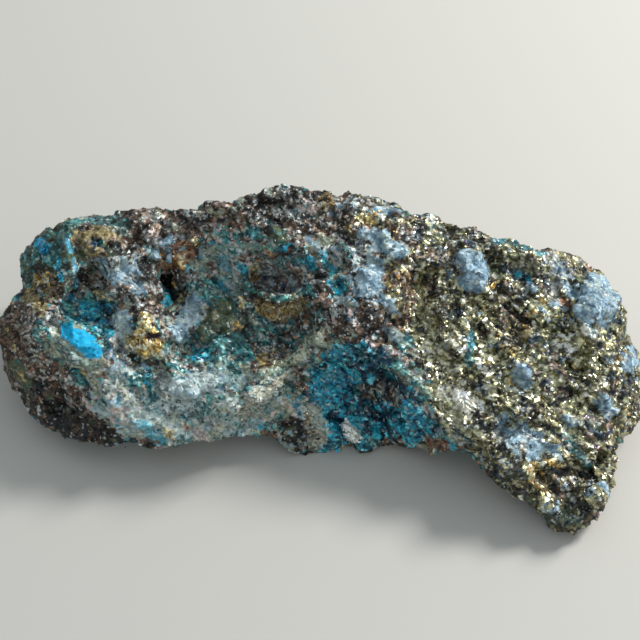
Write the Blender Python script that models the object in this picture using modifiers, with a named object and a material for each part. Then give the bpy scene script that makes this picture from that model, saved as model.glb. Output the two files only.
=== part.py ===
"""A hand specimen of peacock ore: one broken lump of chalcopyrite and copper minerals, 76 mm long.

The lump is a thick slab whose broad face leans back from a flat broken base. It is laid out in
the face's own frame, in millimetres: `along` runs left to right, `up` runs up the slope of the
face, and `out` stands square to it. The right-hand block is a raised wedge of massive
chalcopyrite, the left-hand block is a hollowed ledge of mixed minerals, and a notch parts them.
"""

import math

import bmesh
import bpy
from mathutils import Matrix, Vector, noise

NAME = "peacock_ore"
MM = 0.001

# The broad face's frame, and how high its lower edge stands over the table (mm).
FACE_TILT = math.radians(35)
FRONT_EDGE_HEIGHT = 3.6
ALONG = Vector((1, 0, 0))
UP = Vector((0, math.cos(FACE_TILT), math.sin(FACE_TILT)))
OUT = Vector((0, -math.sin(FACE_TILT), math.cos(FACE_TILT)))

# Outline of the broad face as (along, up) points, clockwise from the notch in the left end.
OUTLINE = [
    (-34.6, 18.5), (-35.1, 20.3), (-35.5, 22.4), (-34.0, 23.5), (-32.8, 25.2), (-31.2, 26.2),
    (-28.0, 26.9), (-24.7, 27.2), (-19.8, 28.1), (-15.7, 27.8), (-11.0, 28.6), (-8.0, 29.4),
    (-4.5, 30.9), (-1.0, 31.1), (1.2, 30.5), (2.8, 31.8), (4.5, 31.4), (5.8, 29.7),
    (9.3, 28.3), (11.2, 27.2), (13.5, 27.4), (16.5, 25.9), (19.8, 24.5), (22.4, 24.6),
    (25.4, 23.1), (29.2, 22.8), (31.6, 21.5), (34.0, 20.8), (35.0, 17.5), (35.9, 14.9),
    (36.4, 13.0), (37.7, 11.2), (38.3, 7.5), (37.8, 3.6), (35.6, 1.5), (33.9, 1.4),
    (34.6, -2.1), (34.0, -4.7), (32.3, -7.5), (30.6, -8.8), (28.8, -10.1), (26.6, -9.2),
    (24.9, -6.5), (22.9, -5.8), (20.4, -4.2), (18.4, -1.8), (16.2, 0.4), (13.2, -0.4),
    (10.4, -0.4), (8.9, 0.8), (7.2, -1.4), (2.9, -2.2), (-3.0, -1.0), (-6.0, 1.3),
    (-10.0, 1.1), (-15.5, 1.0), (-18.6, 0.1), (-24.9, 0.1), (-29.0, 1.9), (-32.2, 2.3),
    (-34.2, 4.2), (-35.9, 6.6), (-37.1, 9.8), (-37.5, 13.4), (-36.9, 16.2), (-35.6, 17.9),
]

# Break faces: (name, point (along, up) on the face, out there, heading of its fall in degrees
# from `along` towards `up`, fall in mm per mm). A block keeps what is below all its breaks.
LEFT_BREAKS = [
    ("leaning face", (-20.0, 5.0), 3.0, 48, 0.17),
    ("fall into the notch", (-2.0, 10.5), 1.3, -45, 0.45),
    ("front slope", (-12.0, 1.8), 2.6, -90, 0.50),
    ("lower left break", (-27.4, 6.9), 3.7, 220, 0.90),
    ("left end", (-34.6, 13.0), 2.6, 190, 1.10),
    ("upper left corner", (-31.5, 23.0), 0.6, 150, 0.80),
    ("top edge", (-10.0, 28.3), -0.2, 95, 1.10),
    ("peak", (-3.0, 30.4), -0.6, 70, 0.80),
]
RIGHT_BREAKS = [
    ("chalcopyrite face", (14.0, 2.0), 5.6, 62, 0.235),
    ("blue face", (10.5, 7.0), 5.2, 215, 0.50),
    ("edge over the notch", (17.5, 1.0), 5.4, 228, 1.20),
    ("right end", (35.5, 10.0), -0.4, 5, 1.00),
    ("lobe end", (31.0, -4.5), 6.2, -40, 0.40),
    ("back edge", (16.0, 24.8), 0.9, 72, 1.00),
    ("right shoulder", (30.0, 20.0), -1.3, 60, 0.90),
]

# Ridges, hollows and lumps on the face: (name, points (along, up), half width, height).
FEATURES = [
    ("lens ledge", [(-31.5, 13.6), (-27.8, 12.6), (-24.6, 9.8)], 3.0, 1.7),
    ("ledge under the lens", [(-33.4, 10.6), (-29.8, 8.2), (-27.4, 7.4)], 1.8, -0.9),
    ("dark bay beside the lens", [(-28.4, 16.2), (-25.4, 15.4)], 1.6, -1.3),
    ("groove in the left end", [(-36.0, 18.6), (-32.6, 18.7), (-30.2, 17.6), (-27.0, 18.8)], 1.3, -1.8),
    ("left corner knob", [(-31.6, 21.8), (-30.0, 24.2)], 2.4, 1.0),
    ("vein rib", [(-29.6, 24.4), (-29.0, 21.6), (-28.2, 19.2)], 0.9, 0.8),
    ("ochre lump", [(-26.4, 24.4), (-24.2, 23.6)], 2.2, 0.9),
    ("hollow by the quartz", [(-26.4, 19.6), (-25.2, 21.2)], 1.2, -1.7),
    ("quartz crystals", [(-24.2, 21.2), (-23.4, 20.0), (-22.0, 18.8)], 1.9, 1.6),
    ("pit by the quartz", [(-20.8, 21.6), (-20.2, 20.9)], 1.2, -1.9),
    ("crack", [(-18.3, 20.5), (-17.4, 19.2), (-16.8, 17.8)], 0.9, -3.0),
    ("gold lump", [(-20.6, 14.8), (-20.0, 13.0), (-18.6, 13.2)], 1.4, 1.1),
    ("gold crumbs", [(-25.2, 17.8), (-24.6, 17.2)], 0.9, 0.7),
    ("white lump", [(-16.4, 15.8), (-15.6, 15.0)], 1.6, 0.9),
    ("hollow", [(-12.8, 15.6), (-7.5, 16.4), (-2.5, 17.4)], 5.0, -1.8),
    ("cave", [(-6.8, 20.4), (-3.8, 19.9)], 2.1, -2.4),
    ("cave lip", [(-8.8, 19.6), (-7.4, 18.4), (-4.6, 17.6), (-2.2, 18.2), (-1.4, 19.6)], 0.8, 1.9),
    ("smooth swell", [(-12.2, 17.0), (-11.8, 14.6)], 2.2, 1.1),
    ("upper shelf", [(-14.2, 23.8), (-9.0, 23.9), (-3.0, 23.7)], 1.5, 0.9),
    ("groove under the shelf", [(-13.0, 21.4), (-9.6, 21.7)], 1.0, -0.8),
    ("hollow by the peak", [(-1.6, 24.0), (1.0, 22.4), (1.6, 19.8)], 1.5, -1.2),
    ("quartz swell", [(-18.6, 8.6), (-14.5, 8.4), (-11.0, 7.6)], 2.4, 1.0),
    ("oblique rib", [(-10.4, 4.0), (-6.4, 6.6), (-3.2, 9.2), (1.2, 13.0)], 1.6, 1.9),
    ("gap under the rib", [(-8.0, 2.6), (-3.4, 6.0)], 1.1, -0.7),
    ("foot of the notch", [(4.6, 0.6), (1.0, 1.6), (-1.5, 3.0)], 1.8, 1.6),
    ("lower lip", [(-22.5, 2.6), (-16.0, 2.4)], 1.3, 0.6),
    ("pale knob in the chalcopyrite", [(17.8, 21.6), (18.4, 19.4)], 2.1, 0.8),
    ("pit behind the knob", [(20.8, 21.4), (19.2, 23.4)], 1.2, -1.3),
    ("furrow in the chalcopyrite", [(21.4, 16.6), (24.0, 14.6)], 0.9, -1.2),
    ("cross furrow", [(12.6, 19.0), (12.4, 15.0), (12.0, 11.6)], 1.0, -0.9),
    ("dark lump on the back edge", [(21.0, 23.4), (24.6, 22.8)], 1.7, 1.3),
    ("pale corner", [(31.2, 18.8), (32.4, 15.8)], 2.6, 0.6),
    ("gap at the right end", [(33.8, 14.2), (32.0, 13.4)], 1.1, -1.6),
    ("scooped hollow", [(26.8, 12.0), (29.6, 10.6)], 1.7, -1.3),
    ("lobe rib", [(21.5, -0.5), (25.0, -4.0)], 1.8, 0.8),
    ("lobe furrow", [(27.0, -2.0), (30.5, -3.0)], 1.2, -1.1),
    ("lobe knob", [(32.2, -4.8), (31.0, -5.4)], 1.6, 0.9),
    ("furrow under the pale band", [(19.5, 2.8), (25.0, 2.2)], 1.3, -0.6),
]

# Breaks round the hidden sides, in the table's frame: (name, point (x, y, z), outward normal).
# The two blocks run into each other, so each is first cut off inside the other.
BACK_BREAKS = [
    ("back wall, left", (-24.0, 26.6, 10.0), (-0.30, 1.00, 0.30)),
    ("back wall, middle", (0.0, 28.6, 8.0), (0.06, 1.00, 0.26)),
    ("back wall, right", (24.0, 25.2, 8.0), (0.28, 1.00, 0.36)),
    ("back slope", (6.0, 28.6, 18.5), (0.10, 0.66, 0.75)),
]
LEFT_SIDE_BREAKS = [
    ("inside the right block", (13.0, 12.0, 5.0), (1.00, 0.00, 0.00)),
    ("left foot", (-36.8, 14.0, 6.0), (-1.00, 0.10, -0.30)),
    ("left back corner", (-32.5, 25.0, 8.0), (-0.80, 0.62, 0.10)),
    ("under the left end", (-36.2, 5.0, 1.3), (-0.60, -0.40, -0.80)),
    ("under the left ledge", (-18.0, 0.0, 1.8), (-0.06, -0.80, -0.62)),
    ("under the notch", (5.0, -1.4, 1.0), (0.08, -1.00, -0.35)),
]
RIGHT_SIDE_BREAKS = [
    ("inside the left block", (-1.0, 12.0, 5.0), (-1.00, 0.00, 0.00)),
    ("right foot", (38.6, 10.0, 5.0), (1.00, 0.16, -0.45)),
    ("right back corner", (32.5, 24.0, 7.0), (0.72, 0.68, 0.12)),
    ("under the lobe", (25.0, -12.6, 1.1), (0.06, -0.22, -1.00)),
    ("under the lobe's edge", (19.6, -6.1, 1.0), (-0.56, -0.75, -1.10)),
]
# Hollows and lumps on the hidden sides: (name, centre (x, y, z), radius, height).
SIDE_FEATURES = [
    ("ledge on the back", (-12.0, 29.0, 7.0), 6.0, 1.2),
    ("scoop in the back", (9.0, 28.0, 10.5), 7.0, -2.2),
    ("lump behind the shoulder", (23.0, 25.0, 9.0), 5.0, 1.4),
    ("scoop behind the corner", (-27.0, 26.0, 8.0), 5.5, -1.8),
    ("knob at the left foot", (-36.0, 17.0, 6.0), 4.5, 1.2),
    ("scoop at the right end", (37.5, 12.0, 7.0), 5.0, -1.4),
    ("lump low on the back", (1.0, 30.5, 3.0), 5.0, 1.4),
    ("scoop low on the back", (-19.0, 28.8, 3.5), 4.5, -1.6),
]

NOISE_SEED = 7
# How far the break faces wander from true planes, and over what length (mm).
WANDER, WANDER_LENGTH = 1.2, 6.0
# Granular relief over the whole lump: (grain size, height), coarse to fine (mm).
GRAINS = [(9.0, 0.75), (4.2, 0.55), (2.1, 0.42)]
# Flat-topped crumbs of the broken mass: their size and how far they step and tip (mm).
CRUMB_SIZE, CRUMB_STEP, CRUMB_TIP = 3.4, 0.42, 0.60
# How far a hump reaches beyond its half width, as a multiple of it.
HUMP_REACH = 1.6

# The rim of the face: how far in it is rounded and by how much, and how far in it keeps to its
# outline; the walls under it stand back once they are this far down (mm).
EDGE_ROUNDING = 1.2
EDGE_DROP = 0.8
RIM_WIDTH = 1.6
WALL_DEPTH = 1.5
WALL_SETBACK = 1.2
# What evening the surface out takes off the outline, put on beforehand (mm).
OUTLINE_SPARE = 0.35
# How far the slab reaches behind and before the face's plane, and how far below the table the
# rough lump goes before its base is broken flat (mm).
SLAB_BACK, SLAB_TOP = -42.0, 16.0
BELOW_TABLE = 4.0
# Spacing of the relief's grid and of the evened surface (mm), and the triangles left after it.
RELIEF_SPACING = 0.8
VOXEL = 0.62
TRIANGLES = 11500


def in_face(place):
    """A point of the table's frame as (along, up, out) in the face's frame, in mm."""
    from_edge = place - Vector((0, 0, FRONT_EDGE_HEIGHT))
    return from_edge.dot(ALONG), from_edge.dot(UP), from_edge.dot(OUT)


def face_matrix():
    """The face's frame as a matrix, in metres."""
    axes = Matrix((ALONG, UP, OUT)).transposed().to_4x4()
    return Matrix.Translation((0, 0, FRONT_EDGE_HEIGHT * MM)) @ axes @ Matrix.Scale(MM, 4)


def distance_to_path(point, path):
    """Distance from a 2D point to a polyline."""
    best = min((point - Vector(corner)).length for corner in path)
    for start, end in zip(path, path[1:]):
        start, span = Vector(start), Vector(end) - Vector(start)
        share = (point - start).dot(span) / span.length_squared
        if 0 < share < 1:
            best = min(best, (point - start - span * share).length)
    return best


def swell(distance, width):
    """A smooth hump of this half width: 1 in the middle, 0 from HUMP_REACH of it outwards."""
    t = min(distance / (width * HUMP_REACH), 1.0)
    return (1 - t * t) ** 2


def break_height(breaks, point):
    """The lowest of a block's break faces over this point."""
    heights = []
    for _, at, out, heading, slope in breaks:
        fall = Vector((math.cos(math.radians(heading)), math.sin(math.radians(heading))))
        heights.append(out - slope * (point - Vector(at)).dot(fall))
    return min(heights)


def relief(along, up):
    """How far the broad face stands out over (along, up), in mm."""
    here = Vector((along, up))
    wandered = here + noise.noise_vector(Vector((along, up, 0)) / WANDER_LENGTH).xy * WANDER
    out = max(break_height(LEFT_BREAKS, wandered), break_height(RIGHT_BREAKS, wandered))
    for _, path, width, height in FEATURES:
        out += height * swell(distance_to_path(here, path), width)
    edge = distance_to_path(here, OUTLINE + OUTLINE[:1])
    if edge < EDGE_ROUNDING:
        out -= EDGE_DROP * (1 - edge / EDGE_ROUNDING) ** 2
    return out


def mesh_object(name, bm, collection):
    """A new object of this mesh, in this collection."""
    mesh = bpy.data.meshes.new(name)
    bm.to_mesh(mesh)
    bm.free()
    made = bpy.data.objects.new(name, mesh)
    collection.objects.link(made)
    return made


def apply_modifiers(obj):
    """Replaces an object's mesh by its evaluated one, and clears its modifiers."""
    graph = bpy.context.evaluated_depsgraph_get()
    graph.update()
    mesh = bpy.data.meshes.new_from_object(obj.evaluated_get(graph))
    obj.modifiers.clear()
    obj.data = mesh


def make_slab(collection):
    """The outline drawn through the whole thickness of the lump, square to the broad face."""
    curve = bpy.data.curves.new(NAME, "CURVE")
    curve.dimensions = "2D"
    curve.fill_mode = "BOTH"
    curve.extrude = (SLAB_TOP - SLAB_BACK) / 2
    curve.offset = OUTLINE_SPARE
    spline = curve.splines.new("POLY")
    spline.points.add(len(OUTLINE) - 1)
    for corner, (along, up) in zip(spline.points, OUTLINE):
        corner.co = (along, up, 0, 1)
    spline.use_cyclic_u = True
    drawn = bpy.data.objects.new(NAME + "_outline", curve)
    collection.objects.link(drawn)
    bpy.context.view_layer.update()
    mesh = bpy.data.meshes.new_from_object(drawn.evaluated_get(bpy.context.evaluated_depsgraph_get()))
    bpy.data.objects.remove(drawn)
    bm = bmesh.new()
    bm.from_mesh(mesh)
    bmesh.ops.remove_doubles(bm, verts=bm.verts, dist=0.001)
    bmesh.ops.translate(bm, verts=bm.verts, vec=(0, 0, (SLAB_TOP + SLAB_BACK) / 2))
    bmesh.ops.recalc_face_normals(bm, faces=bm.faces)
    bmesh.ops.transform(bm, matrix=face_matrix(), verts=bm.verts)
    return mesh_object(NAME, bm, collection)


def make_relief_cutter(collection):
    """A sheet that follows the relief of the broad face, closed far above it."""
    margin = 2.0
    left, right = min(a for a, _ in OUTLINE) - margin, max(a for a, _ in OUTLINE) + margin
    low, high = min(u for _, u in OUTLINE) - margin, max(u for _, u in OUTLINE) + margin
    bm = bmesh.new()
    bmesh.ops.create_grid(
        bm,
        x_segments=round((right - left) / RELIEF_SPACING),
        y_segments=round((high - low) / RELIEF_SPACING),
        size=0.5,
    )
    sheet = list(bm.faces)
    for vert in bm.verts:
        along = left + (vert.co.x + 0.5) * (right - left)
        up = low + (vert.co.y + 0.5) * (high - low)
        vert.co = (along, up, relief(along, up))
    raised = bmesh.ops.extrude_face_region(bm, geom=sheet)["geom"]
    for vert in (item for item in raised if isinstance(item, bmesh.types.BMVert)):
        vert.co.z = SLAB_TOP + margin
    bmesh.ops.recalc_face_normals(bm, faces=bm.faces)
    bmesh.ops.transform(bm, matrix=face_matrix(), verts=bm.verts)
    cutter = mesh_object("relief_cutter", bm, collection)
    cutter.hide_render = True
    cutter.display_type = "WIRE"
    return cutter


def chop(obj, at, outward):
    """Breaks an object off flat at a plane, and closes the break."""
    bm = bmesh.new()
    bm.from_mesh(obj.data)
    cut = bmesh.ops.bisect_plane(
        bm,
        geom=[*bm.verts, *bm.edges, *bm.faces],
        dist=1e-7,
        plane_co=at,
        plane_no=outward,
        clear_outer=True,
    )["geom_cut"]
    rim = [item for item in cut if isinstance(item, bmesh.types.BMEdge)]
    bmesh.ops.edgeloop_fill(bm, edges=rim)
    bmesh.ops.recalc_face_normals(bm, faces=bm.faces)
    bm.to_mesh(obj.data)
    bm.free()


def make_blocks(obj, blocks):
    """Makes the object into its two blocks, each broken off at its own planes, run together."""
    whole = obj.data
    both = bmesh.new()
    for breaks in blocks:
        obj.data = whole.copy()
        for _, at, outward in breaks:
            chop(obj, Vector(at) * MM, Vector(outward).normalized())
        both.from_mesh(obj.data)
    both.to_mesh(obj.data)
    both.free()


def keep_largest_piece(obj):
    """Drops the chips that come free where the base is broken off."""
    bm = bmesh.new()
    bm.from_mesh(obj.data)
    waiting, pieces = set(bm.verts), []
    while waiting:
        piece, edge_of_piece = set(), [waiting.pop()]
        while edge_of_piece:
            vert = edge_of_piece.pop()
            piece.add(vert)
            beyond = {edge.other_vert(vert) for edge in vert.link_edges} & waiting
            waiting -= beyond
            edge_of_piece.extend(beyond)
        pieces.append(piece)
    largest = max(pieces, key=len)
    bmesh.ops.delete(bm, geom=[v for v in bm.verts if v not in largest], context="VERTS")
    bm.to_mesh(obj.data)
    bm.free()


def crumb_relief(place):
    """Height of the flat-topped crumb that holds this place: each steps and tips its own way."""
    _, centres = noise.voronoi(place / CRUMB_SIZE)
    step = noise.cell(centres[0] * 7) * 2 - 1
    tip = noise.cell_vector(centres[0] * 5) * 2 - Vector((1, 1, 1))
    return CRUMB_STEP * step + CRUMB_TIP * tip.dot(place / CRUMB_SIZE - centres[0])


def held_to_outline(place, normal, height):
    """The move of a surface point, kept from carrying the rim of the face off its outline."""
    along, up, out = in_face(place)
    hold = 1 - distance_to_path(Vector((along, up)), OUTLINE + OUTLINE[:1]) / RIM_WIDTH
    if hold <= 0:
        return normal * height
    below = min(max((relief(along, up) - out) / WALL_DEPTH, 0), 1)
    move = normal * (height - WALL_SETBACK * hold * below)
    sideways = move - OUT * move.dot(OUT)
    return move - sideways * hold * (1 - below)


def roughen(obj):
    """Moves each vertex along its normal by the side features, the crumbs and the grains."""
    mesh = obj.data
    normals = [vert.normal.copy() for vert in mesh.vertices]
    for vert, normal in zip(mesh.vertices, normals):
        place = vert.co / MM
        height = crumb_relief(place)
        for size, rise in GRAINS:
            height += rise * noise.noise(place / size + Vector((size, 0, 0)))
        for _, centre, radius, rise in SIDE_FEATURES:
            height += rise * swell((place - Vector(centre)).length, radius / HUMP_REACH)
        vert.co += held_to_outline(place, normal, height) * MM


def settle(obj):
    """Puts the origin at the middle of the base, on the table."""
    corners = [vert.co for vert in obj.data.vertices]
    middle = [(min(c[i] for c in corners) + max(c[i] for c in corners)) / 2 for i in (0, 1)]
    floor = min(c.z for c in corners)
    obj.data.transform(Matrix.Translation((-middle[0], -middle[1], -floor)))
    for vert in obj.data.vertices:
        if vert.co.z < 1e-6:
            vert.co.z = 0.0


def ore_material():
    """Dull brassy ore."""
    material = bpy.data.materials.new("ore")
    material.use_nodes = True
    shader = material.node_tree.nodes["Principled BSDF"]
    shader.inputs["Base Color"].default_value = (0.20, 0.19, 0.13, 1)
    shader.inputs["Metallic"].default_value = 0.35
    shader.inputs["Roughness"].default_value = 0.5
    return material


def build():
    for obj in list(bpy.data.objects):
        bpy.data.objects.remove(obj)
    noise.seed_set(NOISE_SEED)
    scene = bpy.context.scene.collection
    specimen = bpy.data.collections.new(NAME + "_specimen")
    cutters = bpy.data.collections.new("cutters")
    scene.children.link(specimen)
    scene.children.link(cutters)

    ore = make_slab(specimen)
    cut = ore.modifiers.new("relief", "BOOLEAN")
    cut.operation = "DIFFERENCE"
    cut.object = make_relief_cutter(cutters)
    apply_modifiers(ore)
    chop(ore, (0, 0, -BELOW_TABLE * MM), (0, 0, -1))
    make_blocks(ore, [BACK_BREAKS + LEFT_SIDE_BREAKS, BACK_BREAKS + RIGHT_SIDE_BREAKS])

    remesh = ore.modifiers.new("even surface", "REMESH")
    remesh.mode = "VOXEL"
    remesh.voxel_size = VOXEL * MM
    apply_modifiers(ore)
    roughen(ore)

    thin = ore.modifiers.new("fewer triangles", "DECIMATE")
    thin.ratio = TRIANGLES / sum(len(face.vertices) - 2 for face in ore.data.polygons)
    thin.use_collapse_triangulate = True
    apply_modifiers(ore)
    chop(ore, (0, 0, 0), (0, 0, -1))
    keep_largest_piece(ore)
    settle(ore)
    ore.data.materials.clear()
    ore.data.materials.append(ore_material())


build()
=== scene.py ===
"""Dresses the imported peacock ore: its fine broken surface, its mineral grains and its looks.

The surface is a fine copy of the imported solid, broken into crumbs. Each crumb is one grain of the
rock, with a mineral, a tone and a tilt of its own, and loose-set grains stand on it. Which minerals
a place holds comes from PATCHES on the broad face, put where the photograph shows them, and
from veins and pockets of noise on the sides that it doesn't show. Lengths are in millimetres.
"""

import math

import bmesh
import bpy
import numpy as np
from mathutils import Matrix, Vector, kdtree, noise


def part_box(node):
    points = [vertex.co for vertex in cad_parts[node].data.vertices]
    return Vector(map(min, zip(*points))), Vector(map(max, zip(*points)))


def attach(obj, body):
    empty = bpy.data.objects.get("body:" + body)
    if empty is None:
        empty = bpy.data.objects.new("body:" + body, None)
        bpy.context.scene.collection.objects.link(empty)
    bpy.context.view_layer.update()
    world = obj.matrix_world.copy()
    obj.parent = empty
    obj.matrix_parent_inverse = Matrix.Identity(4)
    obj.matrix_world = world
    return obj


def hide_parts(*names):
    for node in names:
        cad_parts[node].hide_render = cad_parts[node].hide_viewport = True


MM = 0.001
SEED = 11

# The camera: square to the broad face, which leans back at 35 degrees. The picture is square.
PICTURE = 640
VIEW_ELEVATION = math.radians(55)
VIEW_DISTANCE = 235.0
VIEW_WIDTH = 74.4
VIEW_TARGET = Vector((-0.138, 1.219, 12.153))
SENSOR = 36.0
VIEW_TO_CAMERA = Vector((0, -math.cos(VIEW_ELEVATION), math.sin(VIEW_ELEVATION)))
VIEW_UP = Vector((0, math.sin(VIEW_ELEVATION), math.cos(VIEW_ELEVATION)))
VIEW_RIGHT = Vector((1, 0, 0))

# Spacing of the fine surface, how far it is eased before it is broken up, and how far its eased
# normal turns to the camera where it is parted into a front piece and a back piece.
SURFACE_SPACING = 0.23
EASE_STEPS = 3
PARTED_AT = 0.05
# Levels of crumbs: (area of one, tilt, step, crack width, crack depth, painted crack shade, share
# that keep the mineral of the crumb that they are part of), coarse to fine.
LEVELS = [
    (5.0, 0.15, 0.08, 0.24, 0.08, 0.14, 0.0),
    (1.2, 0.18, 0.04, 0.16, 0.04, 0.10, 0.50),
    (0.20, 0.12, 0.015, 0.10, 0.015, 0.06, 0.60),
]
LEAST_SHARE_TO_KEEP = 0.04
# How much lighter or darker than its mineral's tone one crumb or grain is.
TONE_RANGE = (0.75, 1.25)
# Crumbs are longer along the streaks, which run down to the right across the broad face.
STREAK_HEADING = math.radians(-38)
STREAK = VIEW_RIGHT * math.cos(STREAK_HEADING) + VIEW_UP * math.sin(STREAK_HEADING)
ACROSS_STREAK = VIEW_UP * math.cos(STREAK_HEADING) - VIEW_RIGHT * math.sin(STREAK_HEADING)
STREAK_STRETCH = 1.4
# Crumbs lean this much more across the streaks, and this much less along them.
LEAN_ACROSS, LEAN_ALONG = 1.3, 0.6
# Ridges of the sulphide rock: (size, height, stretch along the streaks). They are at their full
# height where the sulphides' share times the gain comes to one.
RIDGES = [(2.2, 0.16, 3.0), (0.9, 0.20, 2.6)]
RIDGED_MINERALS = ("brass", "silver", "steel")
RIDGE_GAIN = 1.7
# Finer relief: noise sizes and heights.
FINE_RELIEF = [(2.6, 0.14), (0.7, 0.04)]
# The surface keeps its place on the flat base, and moves freely from this height up.
BASE_TOP, FREE_FROM = 0.02, 0.6
# The broad face ends where the eased normal turns this far from the camera.
FACING_FROM, FACING_TO = 0.05, 0.30
NORMAL_EASE_STEPS = 60
NORMAL_STEPS = 6

# Minerals: family, metallic, roughness, tilt of its crumbs, share of its crumbs that are loose-set
# grains, how speckled it is, tones as 8-bit sRGB.
MINERAL_FIGURES = ("family", "metallic", "roughness", "tilt", "loose", "speckle", "tones")
MINERALS = {
    "brass": ("sulphide", 0.92, 0.32, 1, 0.3, 0.9, [
        (178, 174, 136), (206, 202, 160), (146, 140, 108), (116, 112, 88), (224, 218, 184)]),
    "silver": ("sulphide", 0.3, 0.28, 1, 0.7, 0.5, [
        (244, 240, 224), (250, 248, 240), (226, 222, 204)]),
    "gold": ("sulphide", 0.5, 0.28, 1, 0.8, 1, [
        (250, 228, 166), (255, 246, 212), (232, 198, 124), (176, 138, 74)]),
    "tarnish": ("sulphide", 0.7, 0.42, 1, 0.12, 1.1, [
        (86, 80, 62), (66, 62, 54), (104, 96, 72), (56, 58, 58)]),
    "steel": ("sulphide", 0.75, 0.38, 1, 0.1, 0.9, [(76, 92, 100), (58, 70, 80), (96, 108, 114)]),
    "bornite": ("sulphide", 0.7, 0.34, 1, 0.3, 0.9, [(88, 78, 100), (68, 82, 110), (112, 82, 76)]),
    "copper": ("sulphide", 0.5, 0.38, 1, 0.5, 0.9, [
        (162, 116, 88), (140, 98, 78), (192, 150, 120)]),
    "quartz": ("quartz", 0, 0.4, 0.35, 0.15, 0.45, [
        (116, 146, 162), (140, 168, 182), (100, 128, 146), (168, 190, 198)]),
    "milk": ("quartz", 0, 0.42, 0.4, 0.15, 0.5, [
        (162, 180, 178), (142, 162, 162), (190, 204, 198)]),
    "teal": ("copper", 0.1, 0.36, 0.8, 0.2, 1.35, [
        (52, 114, 118), (36, 94, 104), (76, 144, 142), (102, 164, 156)]),
    "turquoise": ("copper", 0, 0.75, 0.1, 0, 0.2, [(0, 182, 228), (0, 188, 230), (0, 174, 222)]),
    "azure": ("copper", 0.05, 0.28, 0.9, 0.3, 1.5, [
        (40, 158, 188), (22, 116, 146), (112, 212, 226), (34, 142, 152)]),
    "cyan": ("copper", 0, 0.42, 0.5, 0.1, 0.8, [(30, 156, 180), (52, 178, 196), (22, 132, 156)]),
    "navy": ("copper", 0.2, 0.26, 1, 0.1, 1.3, [(20, 56, 80), (14, 40, 58), (28, 76, 98)]),
    "olive": ("copper", 0.05, 0.36, 0.25, 0.02, 0.6, [(72, 84, 60), (86, 94, 66), (52, 68, 58)]),
    "brown": ("matrix", 0.1, 0.48, 0.9, 0.2, 1.45, [
        (114, 92, 74), (84, 66, 52), (138, 114, 94), (58, 48, 42)]),
    "rust": ("matrix", 0.2, 0.46, 0.9, 0.3, 1.1, [(128, 92, 72), (104, 72, 56), (156, 116, 92)]),
    "grey": ("matrix", 0.1, 0.42, 0.9, 0.3, 1.35, [
        (140, 142, 136), (172, 174, 166), (110, 116, 114), (198, 200, 192)]),
    "beige": ("matrix", 0, 0.52, 0.6, 0.15, 0.9, [
        (168, 168, 142), (190, 188, 164), (144, 150, 128), (154, 170, 152)]),
    "black": ("matrix", 0.2, 0.4, 1, 0.1, 1.2, [(42, 39, 36), (54, 47, 42), (36, 41, 45)]),
    "ochre": ("matrix", 0, 0.52, 0.8, 0.2, 1, [(156, 138, 90), (128, 112, 72), (178, 160, 110)]),
    "pink": ("matrix", 0, 0.45, 0.8, 0.4, 0.8, [(208, 188, 180), (188, 164, 156)]),
}
MINERAL_NAMES = list(MINERALS)

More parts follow.
